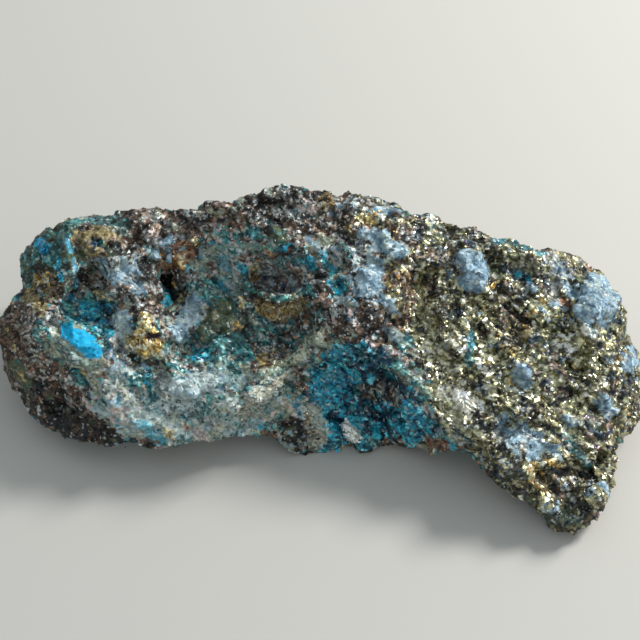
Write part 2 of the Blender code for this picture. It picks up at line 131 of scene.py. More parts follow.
# Rocks: the share of each mineral in them.
ROCKS = {
    "mixed": dict(brown=0.2, grey=0.18, teal=0.18, beige=0.12, black=0.07, rust=0.03, olive=0.06,
        tarnish=0.05, pink=0.03, copper=0.02, quartz=0.06),
    "brassy": dict(brass=0.45, tarnish=0.21, steel=0.1, silver=0.03, gold=0.03, olive=0.03,
        brown=0.06, quartz=0.03, grey=0.03, bornite=0.03),
    "bright brass": dict(brass=0.56, silver=0.09, tarnish=0.22, gold=0.03, steel=0.07, grey=0.03),
    "dull brass": dict(brass=0.26, tarnish=0.34, steel=0.12, brown=0.12, olive=0.08, grey=0.05,
        bornite=0.03),
    "tarnished brass": dict(brass=0.18, tarnish=0.5, steel=0.12, brown=0.14, black=0.06),
    "goldish": dict(gold=0.45, brass=0.3, tarnish=0.2, copper=0.05),
    "gold": dict(gold=0.92, brass=0.08),
    "golden brown": dict(ochre=0.35, tarnish=0.35, gold=0.15, brown=0.15),
    "brown and gold": dict(brown=0.34, rust=0.12, tarnish=0.2, brass=0.18, gold=0.08, grey=0.08),
    "gold glitter": dict(gold=0.5, ochre=0.12, brown=0.28, copper=0.1),
    "coppery": dict(copper=0.3, rust=0.3, brown=0.2, gold=0.1, brass=0.1),
    "bornite heart": dict(bornite=0.6, tarnish=0.4),
    "silver knob": dict(silver=0.85, brass=0.15),
    "bright crystal": dict(milk=0.5, silver=0.5),
    "quartz": dict(quartz=0.8, milk=0.14, grey=0.06),
    "sparse quartz": dict(quartz=0.52, grey=0.2, brass=0.12, tarnish=0.16),
    "dull quartz": dict(quartz=0.3, milk=0.1, grey=0.28, brown=0.16, tarnish=0.16),
    "white quartz": dict(milk=0.6, quartz=0.4),
    "grey quartz": dict(milk=0.34, grey=0.26, quartz=0.14, beige=0.14, teal=0.12),
    "speckled grey": dict(grey=0.12, black=0.36, brown=0.32, quartz=0.03, beige=0.05, teal=0.06,
        pink=0.03, rust=0.03),
    "sparkling grey": dict(quartz=0.32, milk=0.14, grey=0.12, tarnish=0.16, brown=0.16, black=0.06),
    "cave rock": dict(grey=0.46, brown=0.12, quartz=0.2, bornite=0.1, rust=0.12),
    "teal and brown": dict(brown=0.26, rust=0.08, teal=0.22, grey=0.16, azure=0.08, black=0.08,
        pink=0.06, beige=0.06),
    "turquoise": dict(turquoise=1),
    "teal": dict(teal=0.9, azure=0.1),
    "cyan": dict(cyan=0.75, azure=0.15, teal=0.1),
    "pale teal": dict(teal=0.45, beige=0.3, grey=0.25),
    "teal matrix": dict(teal=0.4, grey=0.18, brown=0.16, beige=0.14, black=0.08, rust=0.04),
    "pale teal matrix": dict(teal=0.24, milk=0.3, beige=0.2, grey=0.08, cyan=0.08, brown=0.06,
        pink=0.04),
    "azure": dict(azure=0.5, cyan=0.24, teal=0.12, navy=0.11, milk=0.03),
    "blue rock": dict(azure=0.42, cyan=0.16, navy=0.3, teal=0.08, milk=0.04),
    "night blue": dict(navy=0.58, azure=0.22, black=0.12, cyan=0.08),
    "dark blue": dict(azure=0.4, teal=0.28, cyan=0.1, navy=0.16, grey=0.06),
    "dark": dict(black=0.62, brown=0.28, olive=0.1),
    "dark speckled": dict(black=0.44, brown=0.32, grey=0.12, tarnish=0.12),
    "dark green": dict(olive=0.5, teal=0.35, black=0.15),
    "brown": dict(brown=0.65, rust=0.1, black=0.15, ochre=0.1),
    "speckled brown": dict(brown=0.4, rust=0.08, grey=0.16, black=0.14, pink=0.05, tarnish=0.12,
        beige=0.05),
    "pink and brown": dict(pink=0.18, brown=0.3, grey=0.22, rust=0.12, teal=0.12, beige=0.06),
    "ochre": dict(ochre=0.75, brown=0.25),
    "beige": dict(beige=0.78, grey=0.22),
    "beige matrix": dict(beige=0.42, grey=0.2, teal=0.18, brown=0.12, pink=0.04, rust=0.04),
    "pale matrix": dict(beige=0.3, milk=0.44, quartz=0.08, pink=0.07, cyan=0.05, teal=0.06),
    "olive": dict(olive=0.8, teal=0.1, ochre=0.1),
    "pink": dict(pink=0.85, milk=0.15),
}

# How far some rocks stand out of the surface, or sink into it.
ROCK_RISES = {
    "dark": -0.45, "dark blue": -0.25, "bornite heart": -0.3, "turquoise": -0.05,
    "quartz": 0.22, "white quartz": 0.2, "sparse quartz": 0.08, "grey quartz": 0.12,
    "gold": 0.25, "silver knob": 0.4, "bright crystal": 0.5, "goldish": 0.08, "olive": 0.2,
    "teal": 0.06, "beige": 0.12, "pale teal": 0.12, "golden brown": 0.05,
}
RISE_SOFTNESS = 6.0

# Patches of the broad face, later over earlier: the rock, half width, softness and path of each,
# all in the picture's pixels, as are those of the marks, reliefs and crystals. The patches' edges
# are wavy: by this many pixels, with noise of this size.
PATCH_WAVE = 3.0
PATCH_WAVE_SIZE = 1.1
PATCH_WAVE_OFFSETS = (5.0, 9.0)
PATCHES = {
    # Large areas.
    "right block": ("brassy", 62, 8, (462, 250), (478, 330), (522, 410), (572, 490)),
    "right end": ("brassy", 78, 8, (540, 290), (600, 350), (580, 420)),
    "top right": ("dull brass", 26, 8, (430, 235), (520, 250), (560, 270)),
    "lower right": ("dull brass", 30, 10, (520, 470), (560, 500), (590, 510)),
    "bright band": ("bright brass", 26, 18, (430, 300), (450, 360), (470, 400), (500, 440)),
    "right shine": ("bright brass", 18, 12, (572, 350), (606, 358), (600, 384)),
    "dim end": ("dull brass", 14, 10, (622, 386), (600, 424), (584, 434)),
    "peak": ("speckled grey", 30, 8, (215, 215), (262, 206), (310, 205), (345, 215)),
    "dark ridge": ("speckled brown", 16, 6, (205, 215), (250, 200)),
    "crest of the ridge": ("dark speckled", 9, 5, (132, 212), (205, 208), (258, 196)),
    "brown by the block": ("brown and gold", 26, 10, (384, 226), (392, 262), (388, 318)),
    "sparkles": ("sparkling grey", 17, 8, (368, 254), (368, 286), (352, 304)),
    "dark under the sparkles": ("speckled grey", 14, 6, (356, 318), (380, 326)),
    "band of ore": ("speckled brown", 26, 8, (150, 220), (210, 225), (250, 225)),
    "middle hollow": ("teal matrix", 34, 10, (215, 300), (240, 335), (205, 350)),
    "cave surround": ("teal and brown", 26, 8, (285, 260), (300, 290), (330, 300)),
    "lower middle": ("pale matrix", 30, 8, (110, 400), (180, 415), (250, 405), (280, 420)),
    "lower left": ("pale teal matrix", 20, 8, (120, 385), (165, 395), (225, 400)),
    "left end": ("speckled brown", 30, 8, (25, 330), (35, 370), (60, 390)),
    "lower left break": ("dark speckled", 22, 6, (45, 410), (90, 432), (120, 446)),
    "shaded underside": ("dark", 9, 6, (26, 392), (52, 408), (84, 424), (112, 438)),
    "blue break": ("blue rock", 40, 5, (350, 385), (385, 420)),
    "blue break, left": ("blue rock", 24, 6, (330, 375), (345, 400), (338, 440)),
    # The left end.
    "upper left face": ("dark green", 22, 5, (36, 262), (60, 245), (90, 222)),
    "teal top": ("dark green", 8, 4, (98, 220), (122, 226)),
    "azure spot": ("azure", 6, 2, (40, 242), (44, 248)),
    "blue by the streak": ("azure", 5, 3, (58, 262), (62, 275)),
    "ochre ring": ("ochre", 13, 4, (86, 236), (98, 250), (108, 238)),
    "dark heart": ("night blue", 4.6, 2, (92, 242), (99, 241)),
    "dark hollow": ("dark", 8, 4, (108, 250), (122, 252), (135, 245)),
    "grey facet": ("dull quartz", 5, 2, (121, 262), (128, 259)),
    "dark rock above the facets": ("dark speckled", 6, 3, (138, 250), (142, 258)),
    "grey ledge": ("dull quartz", 11, 3, (105, 266), (122, 272), (135, 264)),
    "bright crystals": ("white quartz", 5, 2, (106, 275), (120, 275)),
    "blue-grey crystals": ("dull quartz", 10, 3, (124, 286), (136, 282), (130, 294)),
    "face of the blue-grey crystals": ("quartz", 4, 2, (124, 284), (132, 282)),
    "brown bay": ("speckled brown", 8, 3, (82, 284), (92, 282)),
    "pit": ("dark", 5, 2, (143, 266), (146, 270)),
    "pink grain": ("pink", 2.6, 1, (138, 296), (139, 297)),
    "pink grain above": ("pink", 2, 1, (161, 277), (162, 277)),
    "grey-blue facets": ("dull quartz", 8, 4, (158, 248), (172, 244), (188, 246)),
    "coppery rock": ("coppery", 10, 4, (166, 262), (182, 256), (190, 248)),
    "rock right of the crack": ("golden brown", 6, 2, (176, 282), (182, 296)),
    "brown left of the crack": ("speckled brown", 6, 3, (150, 282), (156, 298), (147, 308)),
    "crack": ("dark", 3.2, 1.2, (164, 279), (170, 290), (176, 301)),
    "blue left of the crack": ("azure", 4, 2, (163, 288), (168, 303)),
    "gold crumbs": ("gold", 4.2, 1.5, (97, 293), (103, 299), (106, 304)),
    "white-blue quartz": ("quartz", 10, 3, (193, 305), (189, 318), (178, 331)),
    "dark right of the gold": ("speckled brown", 4, 2, (161, 318), (163, 328)),
    "ochre-brown lump": ("golden brown", 10, 3, (44, 280), (54, 290)),
    "yellow streak": ("ochre", 7, 3, (27, 295), (40, 304), (42, 312)),
    "dark teal bay": ("dark blue", 13, 4, (76, 306), (98, 312)),
    "turquoise lens": ("turquoise", 9, 2, (68, 333), (80, 338), (93, 351)),
    "teal over the lens": ("azure", 6, 3, (70, 316), (98, 322), (108, 332)),
    "pale rim of the lens": ("beige", 8, 3, (46, 322), (60, 344), (84, 362), (104, 366)),
    "teal rim of the lens": ("pale teal", 8, 3, (40, 330), (50, 345), (75, 362)),
    "white column": ("white quartz", 7, 2.5, (122, 316), (126, 334)),
    "gold crystals": ("gold", 7, 2, (146, 320), (148, 332), (132, 341), (146, 350), (158, 345)),
    "dark heart of the gold": ("bornite heart", 5, 2, (149, 336), (156, 338)),
    "grey-blue rock": ("sparse quartz", 10, 4, (118, 352), (124, 360)),
    "teal crystals": ("teal", 6, 3, (134, 380), (148, 374), (155, 398)),
    "white grain": ("white quartz", 3.4, 1.5, (111, 372), (114, 373)),
    "orange grain": ("coppery", 3.6, 1.5, (104, 376), (107, 378)),
    "gold glint": ("gold", 2.2, 1, (83, 371), (86, 373)),
    "large pale quartz": ("grey quartz", 18, 6, (172, 392), (190, 390), (212, 380)),
    "large pale quartz, heart": ("white quartz", 7, 4, (178, 388), (210, 385)),
    "green under the quartz": ("teal", 5, 4, (190, 408), (206, 408)),
    "dark blue dots": ("dark blue", 3, 2, (186, 418), (198, 420)),
    "pale band, lower left": ("pale matrix", 11, 6, (98, 404), (122, 420), (130, 432)),
    "cyan spot": ("cyan", 6, 2, (151, 432), (158, 436)),
    "gold spot": ("gold", 3.6, 2, (166, 430), (173, 435)),
    "red spot": ("coppery", 3.6, 1.5, (187, 427), (189, 428)),
    "pink-white rock": ("pink", 5, 2.5, (196, 433), (204, 437)),
    "dark end": ("brown", 12, 6, (8, 335), (14, 352)),
    "teal rim of the end": ("dark blue", 5, 4, (8, 306), (16, 298)),
    "dark rim of the end": ("dark speckled", 6, 4, (4, 318), (8, 308)),
    "olive end": ("olive", 8, 4, (16, 366), (26, 382)),
    "navy hollow": ("dark blue", 5, 3, (74, 376), (82, 386)),
    # The middle.
    # Painted shade: darker rock on the side of the peak.
    "painted shade on the side of the peak": ("dark speckled", 8, 4, (258, 206), (266, 222)),
    "gap by the peak": ("dark", 3, 1.5, (259, 197), (261, 213)),
    "pink grain on the peak": ("pink", 6, 3, (306, 206), (312, 208)),
    "gold on the peak": ("golden brown", 6, 3, (325, 198), (330, 208)),
    "brown-gold patch": ("brown and gold", 7, 3, (345, 222), (353, 230)),
    "gold patch": ("goldish", 6, 3, (362, 219), (378, 214)),
    "white-blue edge": ("dull quartz", 9, 4, (344, 203), (372, 206), (398, 212)),
    "pale quartz under the edge": ("quartz", 7, 3, (362, 235), (383, 236)),
    "bright quartz": ("quartz", 8, 3, (384, 244), (400, 252)),
    "dull rock by the block": ("dark speckled", 7, 4, (404, 228), (411, 240)),
    "white in the quartz": ("white quartz", 4, 2, (396, 252), (402, 256)),
    "smooth lens": ("dark green", 6, 1.5, (270, 222), (277, 232), (283, 240)),
    "teal spot": ("teal", 6, 2.5, (250, 231), (256, 234)),
    "light teal band": ("pale teal matrix", 10, 4, (208, 248), (236, 250), (268, 245)),
    "pinkish rock": ("pink and brown", 9, 5, (208, 264), (230, 272), (246, 262)),
    "pinkish shelf": ("pink and brown", 8, 3, (212, 234), (244, 236)),
    "turquoise bit a": ("cyan", 5, 2, (220, 260), (226, 264)),
    "turquoise bit b": ("cyan", 4, 1.5, (242, 267), (246, 270)),
    "turquoise bit c": ("cyan", 3.4, 1.5, (222, 283), (230, 290)),
    "pale rock by bit c": ("pale teal matrix", 7, 4, (228, 282), (240, 287)),
    "white by bit c": ("white quartz", 3.4, 1.5, (231, 286), (235, 289)),
    "turquoise bit d": ("cyan", 3, 1.5, (302, 284), (304, 288)),
    "turquoise bit e": ("cyan", 4.4, 1.5, (310, 259), (312, 268)),
    "turquoise bit f": ("cyan", 3.6, 1.5, (327, 265), (332, 270)),
    "turquoise bit g": ("cyan", 3.4, 1.5, (320, 251), (325, 260)),
    "dark rock right of the cave": ("dark speckled", 8, 5, (318, 278), (326, 292)),
    "turquoise bit h": ("azure", 5, 2, (334, 286), (342, 288)),
    "golden brown bead": ("golden brown", 5, 1.5, (256, 265), (255, 276)),
    "cave": ("cave rock", 11, 3, (272, 280), (290, 284), (282, 290)),
    "red spot by the cave": ("coppery", 3.4, 1.5, (266, 251), (269, 255)),
    "red spot in the cave": ("coppery", 3.4, 1.5, (297, 274), (299, 281)),
    "gold-brown glitter": ("gold glitter", 9, 2, (266, 306), (282, 312), (296, 304)),
    "smooth olive lump": ("olive", 12, 3, (222, 308), (220, 324)),
    "small smooth lump": ("olive", 8, 3, (206, 330), (208, 336)),
    "teal pool": ("teal", 9, 4, (238, 346), (246, 350)),
    "teal pool, left": ("azure", 6, 3, (198, 352), (206, 354)),
    "gold glint a": ("gold", 3, 1.2, (241, 298), (242, 306)),
    "gold glint b": ("gold", 3.2, 1.2, (235, 324), (239, 328)),
    "gold glint c": ("gold glitter", 6, 2, (260, 358), (272, 364)),
    "white column in the middle": ("white quartz", 3.4, 1.5, (315, 243), (316, 252)),
    "bright sparkles": ("quartz", 7, 4, (366, 272), (376, 266), (372, 292)),
    "light blue quartz": ("quartz", 6, 2, (386, 300), (392, 310)),
    "light blue quartz, left": ("quartz", 5, 2, (341, 298), (346, 300)),
    "white-blue spot": ("white quartz", 6, 2, (391, 330), (396, 338)),
    "oblique pale band": ("beige matrix", 12, 4, (246, 412), (288, 372), (326, 338)),
    "oblique pale band, crest": ("beige", 3.4, 2.5, (290, 366), (302, 356), (322, 342)),
    "teal under the band": ("pale teal", 4, 2, (262, 386), (290, 366)),
    # The blue break and the foot of the notch.
    "blue heart": ("azure", 14, 8, (334, 376), (324, 392)),
    "dark head of the break": ("night blue", 13, 6, (354, 354), (378, 362), (394, 384)),
    "grey-brown rock in the blue": ("speckled grey", 9, 4, (368, 392), (390, 392), (398, 402)),
    "blue right of it": ("azure", 12, 5, (410, 412), (425, 432)),
    "dark crack in the blue": ("dark", 4, 2, (372, 408), (384, 428)),
    "silver knob": ("silver knob", 5, 1.5, (346, 426), (352, 434), (355, 437)),
    "pale knob": ("pale matrix", 10, 3, (315, 414), (320, 434)),
    "orange bit": ("coppery", 3.6, 1.5, (308, 414), (311, 420)),
    "speckled foot": ("speckled grey", 14, 5, (285, 425), (305, 440)),
    "dark crack": ("dark", 5, 2, (295, 424), (298, 436)),
    "brown foot": ("brown", 5, 3, (262, 434), (272, 438)),
    "grey foot": ("speckled grey", 7, 3, (384, 448), (398, 442)),
    "orange foot": ("coppery", 6, 2.5, (428, 442), (442, 446)),
    "cyan foot": ("cyan", 3.6, 1.5, (446, 443), (454, 446)),
    "pale crest": (
        "pale teal", 5.5, 2.4, (396, 366), (408, 380), (424, 390), (446, 420), (456, 440)),
    # The right block.
    "blue-grey quartz": ("quartz", 13, 3, (468, 262), (477, 270), (472, 282)),
    "white gloss": ("white quartz", 3, 1.2, (430, 217), (436, 219)),
    "dark lump": ("dull brass", 9, 3, (502, 244), (530, 246)),
    "teal arc": ("teal", 4, 2, (496, 240), (516, 238), (540, 252)),
    "quartz a": ("quartz", 7, 2, (560, 268), (567, 274)),
    "quartz b": ("quartz", 4, 1.5, (531, 288), (533, 292)),
    "pale rock by the block": ("sparse quartz", 7, 3, (568, 286), (575, 291)),
    "dull rock by quartz c": ("dull brass", 8, 4, (528, 302), (540, 302)),
    "quartz c": ("sparse quartz", 8, 3, (544, 318), (556, 307)),
    "quartz d": ("quartz", 9, 2, (519, 372), (523, 379)),
    "quartz e": ("quartz", 8, 2.5, (603, 402), (608, 410)),
    "quartz f": ("quartz", 6, 2, (569, 420), (573, 424)),
    "quartz cluster": ("sparse quartz", 15, 5, (508, 428), (530, 446), (546, 456)),
    "quartz cluster, heart": ("quartz", 7, 3, (516, 436), (530, 444)),
    "quartz at the lobe": ("sparse quartz", 9, 3, (596, 484), (606, 494)),
    "quartz at the lobe's foot": ("sparse quartz", 6, 3, (544, 505), (552, 509)),
    "quartz block": ("quartz", 18, 3, (598, 290), (595, 305), (605, 289)),
    "quartz block, tail": ("quartz", 11, 3, (584, 311), (604, 317)),
    "far right quartz": ("sparse quartz", 9, 4, (634, 348), (630, 366)),
    "blue grain": ("azure", 3, 1.5, (524, 273), (529, 277)),
    "orange grain a": ("goldish", 4, 1.5, (539, 303), (542, 304)),
    "orange grain b": ("coppery", 4, 1.5, (565, 302), (567, 304)),
    "orange patch": ("golden brown", 9, 3, (514, 324), (522, 332)),
    "red grain": ("coppery", 4, 1.5, (589, 266), (592, 268)),
    "pale green crystal": ("bright crystal", 6, 1.5, (586, 331), (592, 334)),
    "yellow crystals": ("bright brass", 10, 4, (588, 350), (604, 362), (592, 368)),
    "dark of the break": ("night blue", 9, 6, (378, 408), (392, 424)),
    "gold band": ("goldish", 7, 3, (532, 468), (546, 492)),
    "gold band above": ("goldish", 6, 3, (548, 458), (553, 464)),
    "gold patch on the face": ("goldish", 6, 3, (506, 346), (514, 354)),
    "dull rock on the face": ("dull brass", 12, 6, (536, 350), (556, 360)),
    "teal vein": ("teal", 4, 1.8, (471, 334), (470, 348), (468, 362)),
    "teal vein low down": ("pale teal", 4, 2, (564, 436), (576, 450), (586, 464)),
    "bright glints": ("silver knob", 7, 4, (460, 396), (472, 410)),
    "bright grains": ("bright brass", 12, 5, (432, 358), (446, 376)),
    "bright foot of the crest": ("bright brass", 7, 4, (432, 394), (444, 410), (452, 428)),
    "dark gap a": ("dark", 4, 2, (576, 471), (598, 477)),
    "dark gap b": ("dark", 4, 2, (556, 487), (564, 499)),
    "dark gap c": ("dark", 5, 2.5, (430, 278), (432, 292)),
    "dim rock below gap c": ("tarnished brass", 7, 4, (436, 300), (443, 309)),
    "dim rock below the glints": ("tarnished brass", 7, 4, (478, 417), (486, 426)),
    "dim rock by the round quartz": ("tarnished brass", 7, 4, (437, 250), (441, 262)),
    "dim rock of the end": ("tarnished brass", 8, 4, (611, 382), (620, 392)),
    "dark gap e": ("dark", 4, 2, (506, 308), (524, 320)),
    "dark gap f": ("dark", 2.6, 2, (592, 344), (604, 347)),
    "dark gap g": ("dark", 4, 2, (562, 388), (570, 394)),
    "bright brass above gap g": ("bright brass", 7, 3, (549, 373), (556, 379)),
    "bright brass on the face": ("bright brass", 6, 3, (490, 297), (494, 306)),
}

# Thin marks and clean colour over the crumbs, some of them painted shade, light or glint: the tone,
# strength, half width, softness and path of each, and how much lighter or darker their tone is from
# vertex to vertex.
MARK_GRAIN = (0.85, 1.15)
MARKS = {
    "turquoise lens": ((0, 180, 228), 1, 6.2, 1.6, (67, 334), (78, 336)),
    "turquoise lens, middle": ((0, 180, 228), 1, 8.6, 1.6, (77, 337), (85, 344), (91, 350)),
    "turquoise lens, tip": ((0, 174, 222), 1, 5.4, 1.6, (90, 351), (97, 353)),
    "teal under the lens": (
        (120, 150, 140), 0.6, 3, 2, (54, 336), (66, 348), (84, 362), (98, 365)),
    "azure spot": ((30, 156, 200), 0.9, 5, 2, (41, 243), (43, 248)),
    "cyan streak, top": ((84, 172, 200), 0.85, 2.8, 2, (67, 240), (71, 250)),
    "cyan streak": ((104, 184, 206), 0.85, 2.8, 2, (73, 260), (76, 271), (74, 286)),
    "shade of the cave": ((78, 78, 84), 0.35, 7, 5, (268, 281), (288, 286)),
    "shade over the rim": (
        (26, 32, 34), 0.7, 1.8, 1.6, (254, 284), (268, 291), (284, 292), (300, 284)),
    "teal rim of the cave": (
        (84, 146, 136), 0.9, 2.4, 1.6, (246, 285), (262, 295), (277, 299), (292, 297), (305, 291)),
    "teal tail of the rim": ((64, 116, 116), 0.7, 2.2, 2, (204, 268), (222, 280), (246, 286)),
    "shade under the rim": (
        (40, 36, 30), 0.4, 2, 2, (250, 293), (264, 303), (280, 306), (298, 300)),
    "teal edge of the lump": (
        (70, 128, 124), 0.7, 1.6, 1.6, (206, 300), (214, 292), (228, 294), (234, 306)),
    "teal edge under the lump": (
        (58, 116, 118), 0.7, 1.8, 1.6, (204, 342), (220, 340), (230, 330), (236, 312)),
    "shade of the hollow": ((38, 42, 38), 0.6, 3, 3, (244, 314), (256, 332), (258, 346)),
    "shade by the band": ((50, 46, 40), 0.45, 5, 4, (262, 340), (282, 340), (300, 326)),
    "light teal line": ((120, 168, 152), 0.6, 1.8, 1.6, (212, 248), (240, 246), (275, 248)),
    "olive lump": ((66, 78, 56), 0.65, 9, 4, (221, 308), (220, 324)),
    "small olive lump": ((74, 82, 56), 0.65, 6, 3, (205, 331), (208, 337)),
    "green rock by the lumps": ((44, 72, 68), 0.5, 7, 5, (238, 312), (246, 330), (236, 344)),
    "pale line of the band": (
        (182, 188, 160), 0.75, 4.2, 2.6, (316, 338), (302, 356), (284, 366), (262, 377)),
    "pale streak below the band": (
        (180, 174, 148), 0.75, 2.6, 2, (244, 408), (264, 392), (288, 372)),
    "shade below the band": ((70, 74, 66), 0.5, 1.8, 1.6, (250, 386), (276, 376), (300, 362)),
    "pale streak by the foot": (
        (180, 174, 148), 0.75, 2.6, 2, (268, 420), (286, 404), (300, 390)),
    "teal streak between": ((52, 98, 100), 0.6, 2.2, 2, (256, 412), (276, 396), (296, 378)),
    "teal line of the crest": (
        (112, 156, 142), 0.85, 1.7, 1.4, (382, 365), (402, 371), (418, 382), (430, 396)),
    "pale line of the foot": ((190, 192, 160), 0.5, 1.6, 1.6, (432, 400), (444, 424), (456, 442)),
    "teal vein": ((56, 108, 118), 0.8, 2.2, 2, (471, 331), (469, 345), (464, 360)),
    "teal vein low down": ((84, 126, 124), 0.7, 2, 2, (570, 436), (580, 452), (588, 466)),
    "teal arc": ((66, 108, 116), 0.8, 2.6, 2, (492, 240), (512, 239), (529, 246), (538, 253)),
    # Painted light on the lower middle, which turns away from the key light.
    "painted light of the lower middle": (
        (196, 202, 190), 0.28, 18, 16, (140, 420), (200, 424), (262, 408)),
    # Painted light under the quartz, where the surface is in shade.
    "painted light under the quartz": ((210, 222, 220), 0.75, 9, 7, (166, 404), (190, 405)),
    "white column": ((202, 212, 208), 0.7, 5.5, 3, (117, 317), (121, 334)),
    "white of the white-blue rock": ((190, 206, 214), 0.6, 7, 5, (191, 308), (190, 322)),
    "light rock of the middle": (
        (156, 160, 148), 0.5, 8, 6, (214, 254), (226, 268), (236, 287)),
    "cream of the yellow crystals": (
        (218, 212, 168), 0.65, 6, 4, (580, 344), (592, 352), (586, 366)),
    # Painted light on the brass by the blue grain, over a cast shadow.
    "painted light by the blue grain": ((156, 152, 120), 0.7, 7, 5, (518, 262), (532, 268)),
    # Painted light on the foot of the crest.
    "painted light on the foot of the crest": (
        (214, 212, 184), 0.75, 7, 4, (440, 396), (449, 408), (456, 420)),
    "light brass above": ((186, 182, 148), 0.4, 7, 5, (420, 308), (430, 320)),
    "light brass by the crest": ((206, 200, 170), 0.45, 8, 5, (434, 352), (450, 366)),
    # Painted light on the gold glitter in its shaded hollow.
    "painted light of the gold glitter": (
        (236, 208, 150), 0.35, 6, 4, (268, 311), (282, 316), (294, 309)),
    "dark streak of the blue": ((10, 28, 40), 0.75, 2.6, 3, (356, 348), (370, 368), (386, 388)),
    "dark streak above the foot": (
        (10, 28, 40), 0.75, 2.6, 3, (362, 402), (376, 414), (392, 432)),
    "dark streak by the crest": ((12, 32, 44), 0.65, 2, 2.4, (390, 368), (404, 386), (420, 404)),
    "blue streak on the left": ((48, 156, 192), 0.55, 1.6, 1.6, (330, 364), (344, 382), (350, 398)),
    "blue streak on the right": (
        (48, 156, 192), 0.55, 1.4, 1.6, (396, 392), (412, 410), (428, 426)),
    # Painted shade over the peak, which faces the light.
    "painted shade of the peak": ((66, 60, 50), 0.28, 17, 14, (262, 203), (300, 202), (338, 212)),
    # Paler rock, with painted light, round the cave's shaded hollow.
    "pale rock and painted light round the cave": (
        (150, 150, 140), 0.28, 9, 8, (262, 262), (290, 266), (304, 276)),
    # Painted glint on the silver knob.
    "painted glint of the silver knob": ((252, 246, 240), 0.8, 4, 2, (346, 426), (352, 435)),
    "light blue of the heart": ((70, 160, 184), 0.35, 12, 9, (322, 386), (340, 380)),
    "pale knob": ((186, 184, 162), 0.75, 8, 4, (314, 412), (316, 442)),
    "dark head of the break": ((14, 34, 48), 0.22, 10, 8, (350, 352), (376, 362), (392, 378)),
    "shade left of the peak": ((44, 42, 40), 0.75, 6, 5, (256, 204), (264, 222)),
    "dark teal top": ((30, 60, 60), 0.7, 7, 5, (100, 218), (114, 226), (124, 228)),
    "brown by the crest": ((96, 92, 80), 0.45, 6, 5, (112, 384), (126, 402)),
    "dark right of the lens": ((30, 62, 68), 0.5, 4, 3, (102, 322), (108, 340), (106, 352)),
    "teal right of the quartz": (
        (66, 116, 114), 0.55, 8, 6, (222, 362), (236, 372), (231, 384)),
    "shade at the band's foot": ((104, 112, 98), 0.4, 6, 5, (262, 374), (276, 384)),
    "white of the large quartz": (
        (196, 206, 202), 0.6, 5, 5, (170, 384), (196, 387), (216, 382)),
}
# Forms too fine for the solid: the rise, half width, softness and path of each.
RELIEFS = {
    "cave": (-0.55, 9, 9, (266, 280), (290, 284)),
    "rim of the cave": (0.4, 2.6, 3, (246, 286), (262, 295), (277, 299), (292, 297), (305, 291)),
    "hollow under the rim": (-0.45, 6, 6, (266, 308), (284, 314), (298, 306)),
    "crack": (-1.1, 1.8, 2, (164, 279), (170, 290), (176, 302)),
    "lip of the crack": (0.25, 2.2, 3, (156, 276), (160, 290), (164, 304)),
    "hollow by the streak": (-0.45, 7, 7, (86, 268), (98, 284)),
    "teal bay": (-0.45, 10, 8, (76, 306), (100, 314)),
    "lens": (0.15, 8, 3, (67, 333), (80, 338), (94, 352)),
    "groove round the lens": (-0.3, 2.4, 3, (56, 326), (60, 340), (76, 352), (92, 362)),
    "rib of the upper left": (0.35, 3, 4, (62, 236), (70, 262), (74, 288)),
    "heart of the ring": (-0.5, 4, 4, (94, 240), (97, 242)),
    "grey facet": (0.4, 6, 5, (120, 258), (134, 250)),
    "heart of the gold": (-0.7, 3.4, 3, (148, 336), (157, 338)),
    "pale quartz": (0.3, 12, 10, (176, 390), (212, 380)),
    "crest of the band": (0.4, 3, 6, (262, 376), (286, 365), (304, 354), (318, 336)),
    "crest by the blue": (0.4, 2.4, 4, (382, 365), (402, 371), (418, 382), (432, 400)),
    "gap at the head of the blue": (-0.7, 4, 5, (352, 352), (376, 368), (390, 384)),
    "lower left crest": (0.35, 3, 5, (38, 322), (58, 342), (84, 362), (104, 384), (116, 410)),
    "round quartz": (0.45, 11, 8, (468, 264), (475, 274)),
    "shade by the round quartz": (-0.35, 4, 5, (492, 262), (494, 284)),
    "ledge a": (-0.36, 2.2, 3, (506, 306), (516, 312), (526, 322)),
    "ledge b": (-0.33, 2.2, 3, (430, 276), (434, 290)),
    "ledge c": (-0.3, 2.2, 3, (594, 344), (604, 346), (612, 352)),
    "ledge d": (-0.36, 2.4, 3, (564, 366), (578, 372)),
    "ledge e": (-0.33, 2.2, 3, (540, 394), (552, 404), (558, 414)),
    "ledge f": (-0.39, 2.4, 3, (566, 462), (586, 470), (600, 478)),
    "ledge g": (-0.33, 2.2, 3, (500, 404), (512, 416)),
    "ledge h": (-0.33, 2.2, 3, (540, 474), (556, 490)),
    "ledge i": (-0.29, 2.2, 3, (450, 316), (460, 330)),
    "block of brass": (0.45, 7, 4, (552, 450), (562, 460)),
    "block of glints": (0.45, 8, 5, (460, 394), (472, 408)),
    "pale crystal": (0.2, 4, 3, (586, 331), (592, 333)),
    "smooth lump": (0.55, 9, 8, (221, 310), (220, 322)),
    "small smooth lump": (0.4, 5, 6, (207, 331), (208, 336)),
    "smooth lens by the peak": (0.35, 4, 4, (270, 224), (280, 238)),
    "navy hollow": (-0.5, 4, 4, (74, 376), (82, 386)),
    "hollow of the brown facets": (-0.6, 6, 6, (252, 332), (262, 348)),
}

